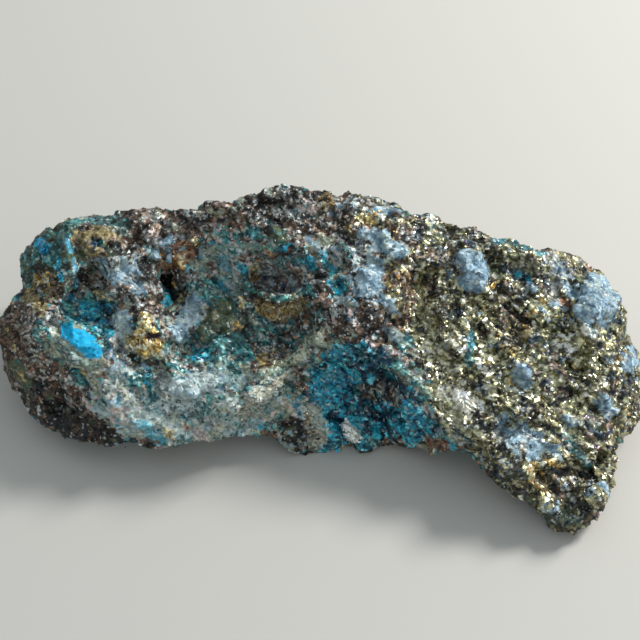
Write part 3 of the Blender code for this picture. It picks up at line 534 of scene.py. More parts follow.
# Loose-set grains: piece name and most grains for each family, their radii (least, most), how much
# more the small ones are, their thickness, and how far they stand out, in radii. Each is one of a
# few templates, with this many points at these distances, stretched along its axes.
GRAIN_PIECES = {
    "sulphide": ("sulphide_grains", 9000),
    "quartz": ("quartz_grains", 6000),
    "copper": ("copper_mineral_grains", 5000),
    "matrix": ("matrix_grains", 9000),
}
TEMPLATES = 32
TEMPLATE_POINTS = 9
TEMPLATE_REACH = (0.8, 1.1)
GRAIN_DRAWS = 80000
GRAIN_RADIUS = (0.10, 0.42)
GRAIN_STRETCH = (0.65, 1.15)
GRAIN_SMALLNESS = 2.4
GRAIN_THICKNESS = 0.60
GRAIN_LIFT = (-0.45, -0.10)
LOWEST_GRAIN = 0.35

# Larger crystals, set one by one: the mineral, how many, their radius and their path.
CRYSTALS = {
    "gold cluster": ("gold", 52, 0.36, (146, 318), (148, 332), (131, 341), (146, 350), (159, 345)),
    "gold crumbs": ("gold", 8, 0.34, (97, 292), (104, 300)),
    "grey facet": ("grey", 3, 0.9, (124, 258), (134, 250)),
    "bright crystals": ("quartz", 5, 0.5, (110, 276), (122, 274)),
    "blue-grey crystals": ("quartz", 5, 0.7, (124, 288), (138, 284)),
    "facets": ("quartz", 8, 0.75, (152, 250), (188, 244)),
    "silver knob": ("silver", 34, 0.34, (345, 426), (356, 438)),
    "bright glints": ("silver", 20, 0.8, (460, 394), (472, 408)),
    "bright grains": ("silver", 22, 0.34, (430, 358), (448, 378)),
    "grains by the crest": ("silver", 14, 0.28, (434, 396), (452, 430)),
    "white gloss": ("silver", 8, 0.5, (428, 218), (438, 221)),
    "gold patch": ("gold", 22, 0.36, (360, 216), (378, 212)),
    "brown-gold patch": ("gold", 12, 0.34, (345, 224), (352, 230)),
    "pale green crystal": ("milk", 3, 0.6, (586, 331), (590, 333)),
    "yellow crystals": ("brass", 16, 0.6, (584, 346), (606, 366)),
    "gold-brown glitter": ("gold", 24, 0.24, (262, 304), (282, 314), (298, 302)),
    "glitter by the band": ("gold", 12, 0.24, (254, 356), (274, 366)),
    "glints in the hollow": ("silver", 8, 0.26, (241, 296), (243, 308), (236, 326)),
    "glints of the peak": ("silver", 10, 0.2, (270, 210), (330, 215)),
    "cyan flecks": ("cyan", 34, 0.2, (322, 384), (344, 372), (338, 400), (372, 430), (424, 428)),
    "pale knob": ("milk", 12, 0.42, (314, 412), (320, 434)),
    "bright flecks of the lower middle": (
        "milk", 40, 0.24, (120, 420), (180, 424), (250, 412), (280, 400)),
    "flecks of the glitter": ("silver", 46, 0.24, (264, 306), (282, 313), (298, 303)),
    "flecks by the band": ("silver", 14, 0.17, (256, 358), (272, 364)),
    "flecks of the hollow": ("silver", 16, 0.18, (240, 298), (236, 326)),
    "flecks of the shelf": ("silver", 24, 0.15, (226, 264), (262, 258), (300, 266)),
    "flecks of the dark rock": ("silver", 44, 0.15, (312, 300), (342, 330), (330, 288)),
    "flecks of the left end": ("silver", 26, 0.16, (20, 330), (60, 382)),
    "gold flecks of the ridge": ("gold", 40, 0.18, (140, 226), (200, 232), (262, 224)),
    "pale flecks in the blue": ("milk", 26, 0.17, (330, 392), (380, 388), (372, 430)),
    "quartz sparkles": ("milk", 40, 0.3, (356, 260), (376, 270), (370, 300)),
    "quartz in the round lump": ("quartz", 16, 0.55, (470, 262), (484, 276)),
    "quartz in the block": ("quartz", 30, 0.5, (592, 284), (604, 310)),
    "quartz in the cluster": ("quartz", 22, 0.5, (508, 430), (546, 456)),
    "pale quartz": ("milk", 26, 0.55, (178, 386), (222, 376)),
    "pale rock right of the gold": ("milk", 8, 0.6, (180, 316), (192, 320)),
}
# How far they stray from their path, in pixels, and their sizes as shares of the radius.
CRYSTAL_SPREAD = 4.0
CRYSTAL_SIZES = (0.7, 1.15)

# The hidden sides turn from mixed rock to brassy rock between these places along the lump, moved
# to and fro by a noise of this height, size and offset. An offset parts a noise from the others.
BRASSY_FROM, BRASSY_TO = -6, 8
BRASSY_WAVE, BRASSY_WAVE_SIZE, BRASSY_WAVE_OFFSET = 5, 9, 3.0
# Pockets in them: (rock, size, level of the noise that they start at, offset).
POCKETS = [
    ("quartz", 6.5, 0.42, 11.0),
    ("speckled brown", 8.0, 0.30, 23.0),
    ("beige matrix", 7.0, 0.38, 37.0),
    ("teal", 5.0, 0.44, 41.0),
    ("goldish", 4.0, 0.48, 53.0),
    ("dark", 5.5, 0.42, 67.0),
]
POCKET_EDGE = 0.10
# Veins in them run where their noise is near zero.
VEIN_SIZE, VEIN_OFFSET = 11.0, 79.0
VEIN_EDGE = (0.02, 0.06)
VEIN_STRENGTH = 0.8

# The material. Its small crystals: how much longer they are along the streaks, their size, and the
# range that they darken or lighten the tint by.
MICRO_STRETCH = 1.2
MICRO_CRYSTAL = 0.25
SPECKLE = (-0.58, 0.46)
# A few of them get a painted glint, a pale tone mixed into their colour: its tone, which part of
# them get it, and how much, least and most.
PAINTED_GLINT_TONE = (0.64, 0.68, 0.65)
GLINTS = (0.92, 0.97, 0.0, 0.50)
# Its noises: (size, detail), and the range of the noise that is taken to another range.
BLOTCH, BLOTCH_RANGE = (0.9, 2), (0.35, 0.65, 0.75, 1.2)
DULLING, DULLING_RANGE = (0.5, 1), (0.3, 0.7, -0.10, 0.12)
ROUGH_GRAIN, ROUGH_GRAIN_HEIGHT = (0.18, 3), 0.08
# Size of its facets, their tilt, and strength of its rough grain.
SURFACE_FACETS = (0.40, 0.95, 0.15)
GRAIN_FACETS = (0.45, 0.35, 0.25)

# The pieces' own maps. Sheets of the surface: (direction, across, up, weight, place in the map).
MAP_NAME = "OFBake"
X, Y, Z = Vector((1, 0, 0)), Vector((0, 1, 0)), Vector((0, 0, 1))
FRONT_SHEETS = [
    (VIEW_TO_CAMERA, VIEW_RIGHT, VIEW_UP, 8, (0.005, 0.005, 0.995, 0.600)),
    (VIEW_UP, VIEW_RIGHT, VIEW_TO_CAMERA, 1, (0.005, 0.610, 0.995, 0.740)),
    (-VIEW_UP, VIEW_RIGHT, VIEW_TO_CAMERA, 1, (0.005, 0.750, 0.995, 0.870)),
    (-VIEW_RIGHT, VIEW_UP, VIEW_TO_CAMERA, 1, (0.005, 0.880, 0.495, 0.995)),
    (VIEW_RIGHT, VIEW_UP, VIEW_TO_CAMERA, 1, (0.505, 0.880, 0.995, 0.995)),
]
BACK_SHEETS = [
    (Y, X, Z, 1, (0.005, 0.005, 0.995, 0.270)),
    (-Y, X, Z, 1, (0.005, 0.280, 0.995, 0.470)),
    (-X, Y, Z, 1, (0.005, 0.480, 0.495, 0.660)),
    (X, Y, Z, 1, (0.505, 0.480, 0.995, 0.660)),
    (-Z, X, Y, 1, (0.005, 0.670, 0.995, 0.840)),
    (Z, X, Y, 1, (0.005, 0.850, 0.995, 0.995)),
]
# Two triangles in a cell of the grains' maps.
CELL_HALVES = [
    [(0.12, 0.12), (0.80, 0.12), (0.12, 0.80)],
    [(0.88, 0.88), (0.20, 0.88), (0.88, 0.20)],
]

# Stage and light, in metres.
FLOOR_SIZE = 2.4
FLOOR_COLOUR = (0.55, 0.52, 0.47)
FLOOR_ROUGHNESS = 0.8
KEY_PLACE = Vector((0.273, 0.158, 0.246))
KEY_SIZE = 0.10
SKY_COLOUR = (0.82, 0.93, 1.0)
KEY_POWER = 1.75
# The sky is dim on the side away from the key light, and bright on its side. It brightens between
# these turns to the key light: 1 straight at it, -1 away.
SKY_TURN = (-0.6, 0.9)
SKY_STRENGTH = (0.34, 0.74)


def linear(tone):
    """An 8-bit sRGB tone as linear values."""
    return [((c / 255 + 0.055) / 1.055) ** 2.4 if c > 10 else c / 255 / 12.92 for c in tone]


def picture_places(points):
    """Where points fall in the picture, in pixels: an array of (across, down)."""
    from_target = points - np.array(VIEW_TARGET)
    across, up = from_target[:, 0], from_target @ np.array(VIEW_UP)
    toward = from_target @ np.array(VIEW_TO_CAMERA)
    zoom = PICTURE / VIEW_WIDTH * VIEW_DISTANCE / (VIEW_DISTANCE - toward)
    return np.column_stack([PICTURE / 2 + zoom * across, PICTURE / 2 - zoom * up])


def smooth_step(low, high, values):
    """0 below the low value, 1 above the high one, and a smooth rise between them."""
    t = np.clip((values - low) / (high - low), 0, 1)
    return t * t * (3 - 2 * t)


def distance_to_path(points, path):
    """Distance of each 2D point to a polyline."""
    best = np.full(len(points), np.inf)
    for start, end in zip(path, path[1:]):
        start, span = np.array(start, float), np.subtract(end, start).astype(float)
        share = np.clip((points - start) @ span / (span @ span), 0, 1)
        best = np.minimum(best, np.linalg.norm(points - start - share[:, None] * span, axis=1))
    return best


def near_path(places, path, inner, outer):
    """1 within the inner distance of a path, 0 past the outer one."""
    return 1 - smooth_step(inner, outer, distance_to_path(places, path))


def noise_at(points, size, offset=0.0):
    """Smooth noise at each point, about -1 to 1."""
    shift = Vector((offset, offset * 0.37, -offset * 0.61))
    return np.array([noise.noise(Vector(p) / size + shift) for p in points])


def unit(vectors):
    """Rows of vectors, each made one long."""
    return vectors / np.maximum(np.linalg.norm(vectors, axis=1), 1e-9)[:, None]


def eased(values, edges, steps):
    """Vertex values averaged with their neighbours, this many times."""
    count = np.bincount(edges.ravel(), minlength=len(values)).astype(float)[:, None]
    for _ in range(steps):
        total = np.zeros_like(values)
        np.add.at(total, edges[:, 0], values[edges[:, 1]])
        np.add.at(total, edges[:, 1], values[edges[:, 0]])
        values = (values + total / np.maximum(count, 1)) / 2
    return values


def tree_of(places):
    """A tree that finds the nearest of these 3D places."""
    tree = kdtree.KDTree(len(places))
    for index, place in enumerate(places):
        tree.insert(place, index)
    tree.balance()
    return tree


# Minerals and rocks.
def column(figure):
    """One figure of each mineral."""
    return np.array([MINERALS[name][MINERAL_FIGURES.index(figure)] for name in MINERAL_NAMES])


def rock_shares(name):
    """A rock's shares as an array over the minerals."""
    shares = np.array([ROCKS[name].get(mineral, 0.0) for mineral in MINERAL_NAMES])
    return shares / shares.sum()


def hidden_shares(points):
    """Mineral shares on the sides that the picture doesn't show: veins and pockets of noise."""
    wave = BRASSY_WAVE * noise_at(points, BRASSY_WAVE_SIZE, BRASSY_WAVE_OFFSET)
    side = smooth_step(BRASSY_FROM, BRASSY_TO, points[:, 0] + wave)[:, None]
    shares = (1 - side) * rock_shares("mixed") + side * rock_shares("brassy")
    for rock, size, level, offset in POCKETS:
        weight = smooth_step(level, level + POCKET_EDGE, noise_at(points, size, offset))[:, None]
        shares = shares * (1 - weight) + rock_shares(rock) * weight
    vein = 1 - smooth_step(*VEIN_EDGE, np.abs(noise_at(points, VEIN_SIZE, VEIN_OFFSET)))[:, None]
    return shares * (1 - vein * VEIN_STRENGTH) + rock_shares("teal") * vein * VEIN_STRENGTH


def patch_weights(points, softened=0.0):
    """Each patch's rock, and how much of each point it covers."""
    waves = [noise_at(points, PATCH_WAVE_SIZE, offset) for offset in PATCH_WAVE_OFFSETS]
    places = picture_places(points) + np.column_stack(waves) * PATCH_WAVE
    for rock, half_width, softness, *path in PATCHES.values():
        half = (softness + softened) / 2
        yield rock, near_path(places, path, half_width - half, half_width + half)


def mineral_shares(points, facing):
    """Each point's mineral shares: the patches where it faces the camera, and noise elsewhere."""
    shares = np.tile(rock_shares("mixed"), (len(points), 1))
    for rock, weight in patch_weights(points):
        shares += (rock_shares(rock) - shares) * weight[:, None]
    shown = smooth_step(FACING_FROM, FACING_TO, facing)[:, None]
    return shares * shown + hidden_shares(points) * (1 - shown)


def sulphide_share(points, facing):
    """How much of the rock at each point is brassy sulphide, 0 to 1."""
    sulphides = [name in RIDGED_MINERALS for name in MINERAL_NAMES]
    return np.clip(mineral_shares(points, facing)[:, sulphides].sum(1) * RIDGE_GAIN, 0, 1)


def patch_rises(points, facing):
    """How far each point is raised or sunk by the rock of the patches that it is in."""
    rises = np.zeros(len(points))
    for rock, weight in patch_weights(points, RISE_SOFTNESS):
        rises += (ROCK_RISES.get(rock, 0.0) - rises) * weight
    return rises * smooth_step(FACING_FROM, FACING_TO, facing)


def pick(shares, draws):
    """The mineral that each draw of 0 to 1 falls on."""
    return np.minimum((np.cumsum(shares, axis=1) < draws[:, None]).sum(1), len(MINERAL_NAMES) - 1)


def tones_of(minerals, rng):
    """A tone for each mineral in the list, one of its own, a little lighter or darker."""
    tones = np.empty((len(minerals), 3))
    for index, name in enumerate(MINERAL_NAMES):
        own = np.array([linear(tone) for tone in MINERALS[name][-1]])
        chosen = np.flatnonzero(minerals == index)
        tones[chosen] = own[rng.integers(0, len(own), len(chosen))]
    return np.clip(tones * rng.uniform(*TONE_RANGE, (len(minerals), 1)), 0, 1)


# Meshes.
def add_object(name, data):
    """A new object in the scene."""
    made = bpy.data.objects.new(name, data)
    bpy.context.scene.collection.objects.link(made)
    return made


def read(items, name, width=1, kind=np.float32):
    """One property of all the items, as an array with a row for each."""
    values = np.empty(len(items) * width, kind)
    items.foreach_get(name, values)
    return values.reshape(-1, width) if width > 1 else values


def vertex_places(mesh):
    """Where each vertex is, in metres."""
    return read(mesh.vertices, "co", 3).astype(float)


def vertex_normals(mesh):
    """The normal of each vertex."""
    return read(mesh.vertex_normals, "vector", 3).astype(float)


def eased_normals(mesh, steps):
    """Vertex normals averaged with their neighbours, this many times."""
    return eased(vertex_normals(mesh), read(mesh.edges, "vertices", 2, np.int32), steps)


def facing_of(mesh):
    """How far each vertex's eased normal turns to the camera: 1 straight at it, -1 away."""
    normals = eased_normals(mesh, NORMAL_EASE_STEPS)
    lengths = np.maximum(np.linalg.norm(normals, axis=1), 1e-9)
    return normals @ np.array(VIEW_TO_CAMERA) / lengths


def vertex_areas(mesh):
    """The area around each vertex, in square millimetres."""
    areas = np.zeros(len(mesh.vertices))
    for face in mesh.polygons:
        areas[list(face.vertices)] += face.area / len(face.vertices)
    return areas / MM**2


def inside_box(points, box):
    """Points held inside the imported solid's box."""
    low, high = (np.array(corner) / MM for corner in box)
    return np.clip(points, low, high)


def add_attribute(mesh, name, values):
    """Gives each vertex a number or a colour."""
    if values.ndim == 1:
        made = mesh.attributes.new(name, "FLOAT", "POINT")
        made.data.foreach_set("value", values.astype(np.float32))
    else:
        made = mesh.attributes.new(name, "FLOAT_COLOR", "POINT")
        values = np.column_stack([values, np.ones(len(values))])
        made.data.foreach_set("color", values.ravel().astype(np.float32))


def dress_vertices(mesh, tints, minerals):
    """Gives each vertex its tint, and the figures of its mineral that the material reads."""
    add_attribute(mesh, "tint", tints)
    for name, figure in (("metal", "metallic"), ("gloss", "roughness"), ("speckle", "speckle")):
        add_attribute(mesh, name, column(figure)[minerals])


def fine_copy(node):
    """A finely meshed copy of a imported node."""
    ore = add_object("ore_surface", node.data.copy())
    remesh = ore.modifiers.new("fine surface", "REMESH")
    remesh.mode = "VOXEL"
    remesh.voxel_size = SURFACE_SPACING * MM
    ore.modifiers.new("ease", "SMOOTH").iterations = EASE_STEPS
    graph = bpy.context.evaluated_depsgraph_get()
    graph.update()
    mesh = bpy.data.meshes.new_from_object(ore.evaluated_get(graph))
    ore.modifiers.clear()
    ore.data = mesh
    mesh.materials.clear()
    mesh.shade_smooth()
    return ore


def part_back(ore, facing):
    """Parts the surface in two: the object keeps the front, and a new one gets the back."""
    back = add_object("ore_surface_back", ore.data.copy())
    for piece, is_front in ((ore, True), (back, False)):
        bm = bmesh.new()
        bm.from_mesh(piece.data)
        gone = []
        for face in bm.faces:
            turned = sum(facing[vert.index] for vert in face.verts) / len(face.verts)
            if (turned > PARTED_AT) != is_front:
                gone.append(face)
        bmesh.ops.delete(bm, geom=gone, context="FACES")
        bm.to_mesh(piece.data)
        bm.free()
    return back


# The broken surface.
def streaked(points, stretch):
    """Points squeezed along the streaks, so that what is near in them is long along them."""
    along = np.array(STREAK)
    return points - np.outer(points @ along, along) * (1 - 1 / stretch)


def ridged(points):
    """Sharp-bottomed ridges along the streaks."""
    height = np.zeros(len(points))
    for size, rise, stretch in RIDGES:
        height += rise * (np.abs(noise_at(streaked(points, stretch), size, size)) * 2 - 0.5)
    return height


def nearest_sites(points, sites):
    """Each point's nearest site, and how much further the next one is."""
    squeezed = streaked(points, STREAK_STRETCH)
    tree = tree_of(squeezed[sites])
    found = [tree.find_n(place, 2) for place in squeezed]
    return np.array([f[0][1] for f in found]), np.array([f[1][2] - f[0][2] for f in found])


class Ground:
    """The surface while it is broken up: arrays with a row for each of its vertices."""

    def __init__(self, mesh):
        self.points = vertex_places(mesh) / MM
        self.facing = facing_of(mesh)
        self.areas = vertex_areas(mesh)
        self.shown = smooth_step(FACING_FROM, FACING_TO, self.facing)
        self.places = picture_places(self.points)
        self.height = patch_rises(self.points, self.facing)
        self.shade = np.ones(len(self.points))
        self.minerals = np.zeros(len(self.points), int)
        self.tones = np.zeros((len(self.points), 3))

    def crumb_minerals(self, sites, kept, rng):
        """A mineral for each crumb, or for some the mineral of the crumb that they are part of."""
        shares = mineral_shares(self.points[sites], self.facing[sites])
        own = pick(shares, rng.random(len(sites)))
        above = self.minerals[sites]
        at_home = shares[np.arange(len(sites)), above] > LEAST_SHARE_TO_KEEP
        return np.where((rng.random(len(sites)) < kept) & at_home, above, own)

    def crumble(self, level, rng):
        """Breaks the surface into crumbs of one size, each with a mineral, a tone and a tilt."""
        area, tilt, step, crack_width, crack_depth, crack_shade, kept = level
        count = int(self.areas.sum() / area)
        chances = self.areas / self.areas.sum()
        sites = rng.choice(len(self.points), count, replace=False, p=chances)
        own = self.crumb_minerals(sites, kept, rng)
        crumb, gap = nearest_sites(self.points, sites)
        crack = 1 - smooth_step(0.0, crack_width, gap)
        lean = rng.normal(0, 1, (count, 2)) * tilt * column("tilt")[own][:, None]
        from_site = self.points - self.points[sites][crumb]
        roughness = column("tilt")[own][crumb]
        self.height += lean[crumb, 0] * LEAN_ACROSS * (from_site @ np.array(ACROSS_STREAK))
        self.height += lean[crumb, 1] * LEAN_ALONG * (from_site @ np.array(STREAK))
        self.height += (rng.uniform(-step, step, count)[crumb] - crack_depth * crack) * roughness
        # Painted shade in the cracks between crumbs.
        self.shade *= 1 - crack_shade * crack * roughness
        self.minerals = own[crumb]
        self.tones = tones_of(own, rng)[crumb]

    def roughen(self):
        """Adds the finer relief, and ridges where the rock is sulphide."""
        for size, rise in FINE_RELIEF:
            self.height += rise * noise_at(self.points, size, size)
        self.height += ridged(self.points) * sulphide_share(self.points, self.facing)

    def marked_tints(self, rng):
        """The crumbs' tones with their painted crack shade, and the marks over them, some of them
        painted light or shade.
        """
        tints = self.tones * self.shade[:, None]
        for tone, strength, half_width, softness, *path in MARKS.values():
            half = softness / 2
            weight = near_path(self.places, path, half_width - half, half_width + half)
            weight = (weight * strength * self.shown)[:, None]
            grained = np.array(linear(tone)) * rng.uniform(*MARK_GRAIN, (len(tints), 1))
            tints += (grained - tints) * weight
        return tints

    def add_reliefs(self):
        """Raises and sinks the listed forms."""
        for rise, half_width, softness, *path in RELIEFS.values():
            near = near_path(self.places, path, half_width - softness / 2, half_width + softness)
            self.height += rise * self.shown * near


def break_surface(ore, rng, box):
    """Breaks the surface up, and gives each vertex its mineral and tint. Returns how it faces."""
    mesh = ore.data
    ground = Ground(mesh)
    for level in LEVELS:
        ground.crumble(level, rng)
    ground.roughen()
    tints = ground.marked_tints(rng)
    ground.add_reliefs()
    height = ground.height * smooth_step(BASE_TOP, FREE_FROM, ground.points[:, 2])
    moved = ground.points + unit(eased_normals(mesh, NORMAL_STEPS)) * height[:, None]
    mesh.vertices.foreach_set("co", (inside_box(moved, box) * MM).ravel().astype(np.float32))
    mesh.update()
    dress_vertices(mesh, tints, ground.minerals)
    return ground.facing


# The grains.
def grain_templates(rng):
    """Small closed crystals of about unit radius: (corners, triangles) of each."""
    templates = []
    for _ in range(TEMPLATES):
        bm = bmesh.new()
        directions = unit(rng.normal(0, 1, (TEMPLATE_POINTS, 3)))
        for corner in directions * rng.uniform(*TEMPLATE_REACH, (TEMPLATE_POINTS, 1)):
            bm.verts.new(corner)
        hull = bmesh.ops.convex_hull(bm, input=bm.verts)
        bmesh.ops.delete(bm, geom=list(set(hull["geom_interior"])), context="VERTS")
        bmesh.ops.recalc_face_normals(bm, faces=bm.faces)
        bm.verts.index_update()
        corners = np.array([vert.co for vert in bm.verts])
        triangles = np.array([[vert.index for vert in face.verts] for face in bm.faces])
        templates.append((corners, triangles))
        bm.free()
    return templates


def random_turns(count, rng):
    """Random rotation matrices."""
    w, x, y, z = unit(rng.normal(0, 1, (count, 4))).T
    return np.stack([
        np.stack([1 - 2 * (y * y + z * z), 2 * (x * y - z * w), 2 * (x * z + y * w)], 1),
        np.stack([2 * (x * y + z * w), 1 - 2 * (x * x + z * z), 2 * (y * z - x * w)], 1),
        np.stack([2 * (x * z - y * w), 2 * (y * z + x * w), 1 - 2 * (x * x + y * y)], 1),
    ], 1)


def grain_arrays(places, normals, radii, templates, rng):
    """Templates turned and stretched, as (corners, triangles, grain of each corner)."""
    stretch = rng.uniform(*GRAIN_STRETCH, (len(places), 3)) * radii[:, None]
    centres = places + normals * (rng.uniform(*GRAIN_LIFT, len(places)) * radii)[:, None]
    turns = random_turns(len(places), rng)
    kinds = rng.integers(0, len(templates), len(places))
    corners, triangles, owners, start = [], [], [], 0
    for kind, (unit_corners, unit_triangles) in enumerate(templates):
        own = np.flatnonzero(kinds == kind)
        shaped = np.einsum("gij,gcj->gci", turns[own], unit_corners[None] * stretch[own][:, None])
        outward = (shaped * normals[own][:, None]).sum(2, keepdims=True) * normals[own][:, None]
        placed = shaped - outward * (1 - GRAIN_THICKNESS) + centres[own][:, None]
        offsets = start + np.arange(len(own)) * len(unit_corners)
        corners.append(placed.reshape(-1, 3))
        triangles.append((unit_triangles[None] + offsets[:, None, None]).reshape(-1, 3))
        owners.append(np.repeat(own, len(unit_corners)))
        start += len(own) * len(unit_corners)
    return np.concatenate(corners), np.concatenate(triangles), np.concatenate(owners)


def mesh_of(name, corners, triangles):
    """An object from corner and triangle arrays, in millimetres."""
    mesh = bpy.data.meshes.new(name)
    mesh.vertices.add(len(corners))
    mesh.vertices.foreach_set("co", (corners * MM).ravel().astype(np.float32))
    mesh.loops.add(len(triangles) * 3)
    mesh.loops.foreach_set("vertex_index", triangles.ravel().astype(np.int32))
    mesh.polygons.add(len(triangles))
    mesh.polygons.foreach_set("loop_start", np.arange(len(triangles), dtype=np.int32) * 3)
    mesh.update(calc_edges=True)
    mesh.validate()
    mesh.shade_flat()
    return add_object(name, mesh)


def strewn_grains(mesh, facing, rng):
    """The loose-set grains: (vertices of the surface that they stand on, minerals, radii)."""
    points = vertex_places(mesh) / MM
    chances = vertex_areas(mesh) * (points[:, 2] > LOWEST_GRAIN)
    at = rng.choice(len(points), GRAIN_DRAWS, p=chances / chances.sum())
    minerals = pick(mineral_shares(points[at], facing[at]), rng.random(len(at)))
    loose = rng.random(len(at)) < column("loose")[minerals]
    least, most = GRAIN_RADIUS
    radii = least + (most - least) * rng.random(loose.sum()) ** GRAIN_SMALLNESS
    return at[loose], minerals[loose], radii


def set_crystals(mesh, facing, rng):
    """The crystals set one by one: (vertices of the surface that they stand on, minerals, radii).
    """
    seen = np.flatnonzero(facing > FACING_TO)
    places = picture_places(vertex_places(mesh)[seen] / MM)
    tree = tree_of(np.column_stack([places, np.zeros(len(seen))]))
    at, minerals, radii = [], [], []
    for mineral, count, radius, *path in CRYSTALS.values():
        path = np.array(path, float)
        legs = rng.integers(0, len(path) - 1, count)
        share = rng.random(count)[:, None]
        spots = path[legs] * (1 - share) + path[legs + 1] * share
        spots += rng.normal(0, CRYSTAL_SPREAD, (count, 2))
        at += [seen[tree.find((across, down, 0))[1]] for across, down in spots]
        minerals += [MINERAL_NAMES.index(mineral)] * count
        radii += list(rng.uniform(*CRYSTAL_SIZES, count) * radius)
    return np.array(at), np.array(minerals), np.array(radii)


def scatter_grains(ore, facing, box, rng):
    """Sets grains all over the surface, by its minerals, as one piece for each family."""
    mesh = ore.data
    strewn = strewn_grains(mesh, facing, rng)
    templates = grain_templates(rng)
    by_hand = set_crystals(mesh, facing, rng)
    points, normals = vertex_places(mesh) / MM, vertex_normals(mesh)
    pieces = []
    for family, (name, most_grains) in GRAIN_PIECES.items():
        in_family = column("family") == family
        strewn_own = np.flatnonzero(in_family[strewn[1]])[:most_grains]
        set_own = np.flatnonzero(in_family[by_hand[1]])
        at, minerals, radii = (
            np.concatenate([a[strewn_own], b[set_own]]) for a, b in zip(strewn, by_hand)
        )
        corners, triangles, owners = grain_arrays(points[at], normals[at], radii, templates, rng)
        made = mesh_of(name, inside_box(corners, box), triangles)
        dress_vertices(made.data, tones_of(minerals, rng)[owners], minerals[owners])
        pieces.append(made)
    return pieces


# The pieces' own maps.
def lay_map(mesh, places):
    """Stores the place in the map of each face corner."""
    layer = mesh.uv_layers.new(name=MAP_NAME)
    layer.data.foreach_set("uv", places.ravel().astype(np.float32))


def lay_on_sheets(mesh, sheets):
    """The piece's own map: each face lies flat on the sheet that it turns to most."""
    normals = read(mesh.polygons, "normal", 3)
    corners = vertex_places(mesh)[read(mesh.loops, "vertex_index", kind=np.int32)]
    turns = [normals @ np.array(direction) * weight for direction, _, _, weight, _ in sheets]
    face_sizes = read(mesh.polygons, "loop_total", kind=np.int32)
    chosen = np.repeat(np.argmax(turns, axis=0), face_sizes)
    places = np.zeros((len(corners), 2))
    for index, (_, across, up, _, (left, low, right, high)) in enumerate(sheets):
        own = chosen == index
        flat = np.column_stack([corners[own] @ np.array(across), corners[own] @ np.array(up)])
        flat = (flat - flat.min(0)) / np.ptp(flat, axis=0)
        places[own] = flat * (right - left, high - low) + (left, low)
    lay_map(mesh, places)


def lay_in_cells(mesh):
    """The piece's own map: each pair of triangles fills a small cell of a grid."""
    index = np.arange(len(mesh.polygons))
    side = math.ceil(math.sqrt(len(index) / 2))
    cells = np.column_stack([index // 2 % side, index // 2 // side])
    lay_map(mesh, (cells[:, None] + np.array(CELL_HALVES)[index % 2]) / side)


# The material.
def add_node(tree, kind, inputs, **options):
    """A new shader node's outputs. Its inputs, by name or number, get a value or a link each."""
    node = tree.nodes.new(kind)
    for option, choice in options.items():
        setattr(node, option, choice)
    for place, value in inputs.items():
        if isinstance(value, bpy.types.NodeSocket):
            tree.links.new(value, node.inputs[place])
        else:
            node.inputs[place].default_value = value
    return node.outputs


def math_node(tree, operation, *values, clamp=False):
    """The value of a Math node, given its inputs in order."""
    inputs = dict(enumerate(values))
    return add_node(tree, "ShaderNodeMath", inputs, operation=operation, use_clamp=clamp)["Value"]


def vector_node(tree, operation, *values, output="Vector"):
    """An output of a VectorMath node, given its inputs in order."""
    inputs = dict(enumerate(values))
    return add_node(tree, "ShaderNodeVectorMath", inputs, operation=operation)[output]


def scaled(tree, vector, scale):
    """A vector times a value."""
    inputs = {"Vector": vector, "Scale": scale}
    return add_node(tree, "ShaderNodeVectorMath", inputs, operation="SCALE")["Vector"]


def ranged(tree, value, from_low, from_high, to_low, to_high):
    """A value taken from one range to another."""
    inputs = dict(enumerate((value, from_low, from_high, to_low, to_high)))
    return add_node(tree, "ShaderNodeMapRange", inputs)["Result"]


def attribute(tree, name, output="Fac"):
    """What the vertices hold under this name."""
    return add_node(tree, "ShaderNodeAttribute", {}, attribute_name=name)[output]


def noise_node(tree, place, size, detail):
    """Smooth noise of this size."""
    inputs = {"Vector": place, "Scale": 1 / (size * MM), "Detail": detail}
    return add_node(tree, "ShaderNodeTexNoise", inputs)["Fac"]


def crystal_colours(tree, place, size):
    """A random colour for each small crystal."""
    inputs = {"Vector": place, "Scale": 1 / (size * MM)}
    return add_node(tree, "ShaderNodeTexVoronoi", inputs)["Color"]


def streaked_place(tree):
    """The place on the object, squeezed along the streaks."""
    place = add_node(tree, "ShaderNodeTexCoord", {})["Object"]
    along = vector_node(tree, "DOT_PRODUCT", place, STREAK, output="Value")
    shift = scaled(tree, STREAK * (1 - 1 / MICRO_STRETCH), along)
    return vector_node(tree, "SUBTRACT", place, shift)


def speckled_colour(tree, place):
    """The tint, darker or lighter from crystal to crystal, blotched, and with a few painted glints.
    """
    speckled = attribute(tree, "speckle")
    colours = crystal_colours(tree, place, MICRO_CRYSTAL)
    channels = add_node(tree, "ShaderNodeSeparateColor", {"Color": colours})
    speckle = ranged(tree, channels["Red"], 0.0, 1.0, *SPECKLE)
    contrast = math_node(tree, "MULTIPLY_ADD", speckle, speckled, 1.0)
    blotch = ranged(tree, noise_node(tree, place, *BLOTCH), *BLOTCH_RANGE)
    shade = math_node(tree, "MULTIPLY", contrast, blotch)
    tint = scaled(tree, attribute(tree, "tint", "Color"), shade)
    # Painted glints: a pale tone mixed into the base colour of a few crystals.
    glint = ranged(tree, channels["Green"], *GLINTS)
    glint = math_node(tree, "MULTIPLY", glint, speckled, clamp=True)
    inputs = {"Factor": glint, "A": tint, "B": (*PAINTED_GLINT_TONE, 1)}
    return add_node(tree, "ShaderNodeMix", inputs, data_type="RGBA")["Result"]


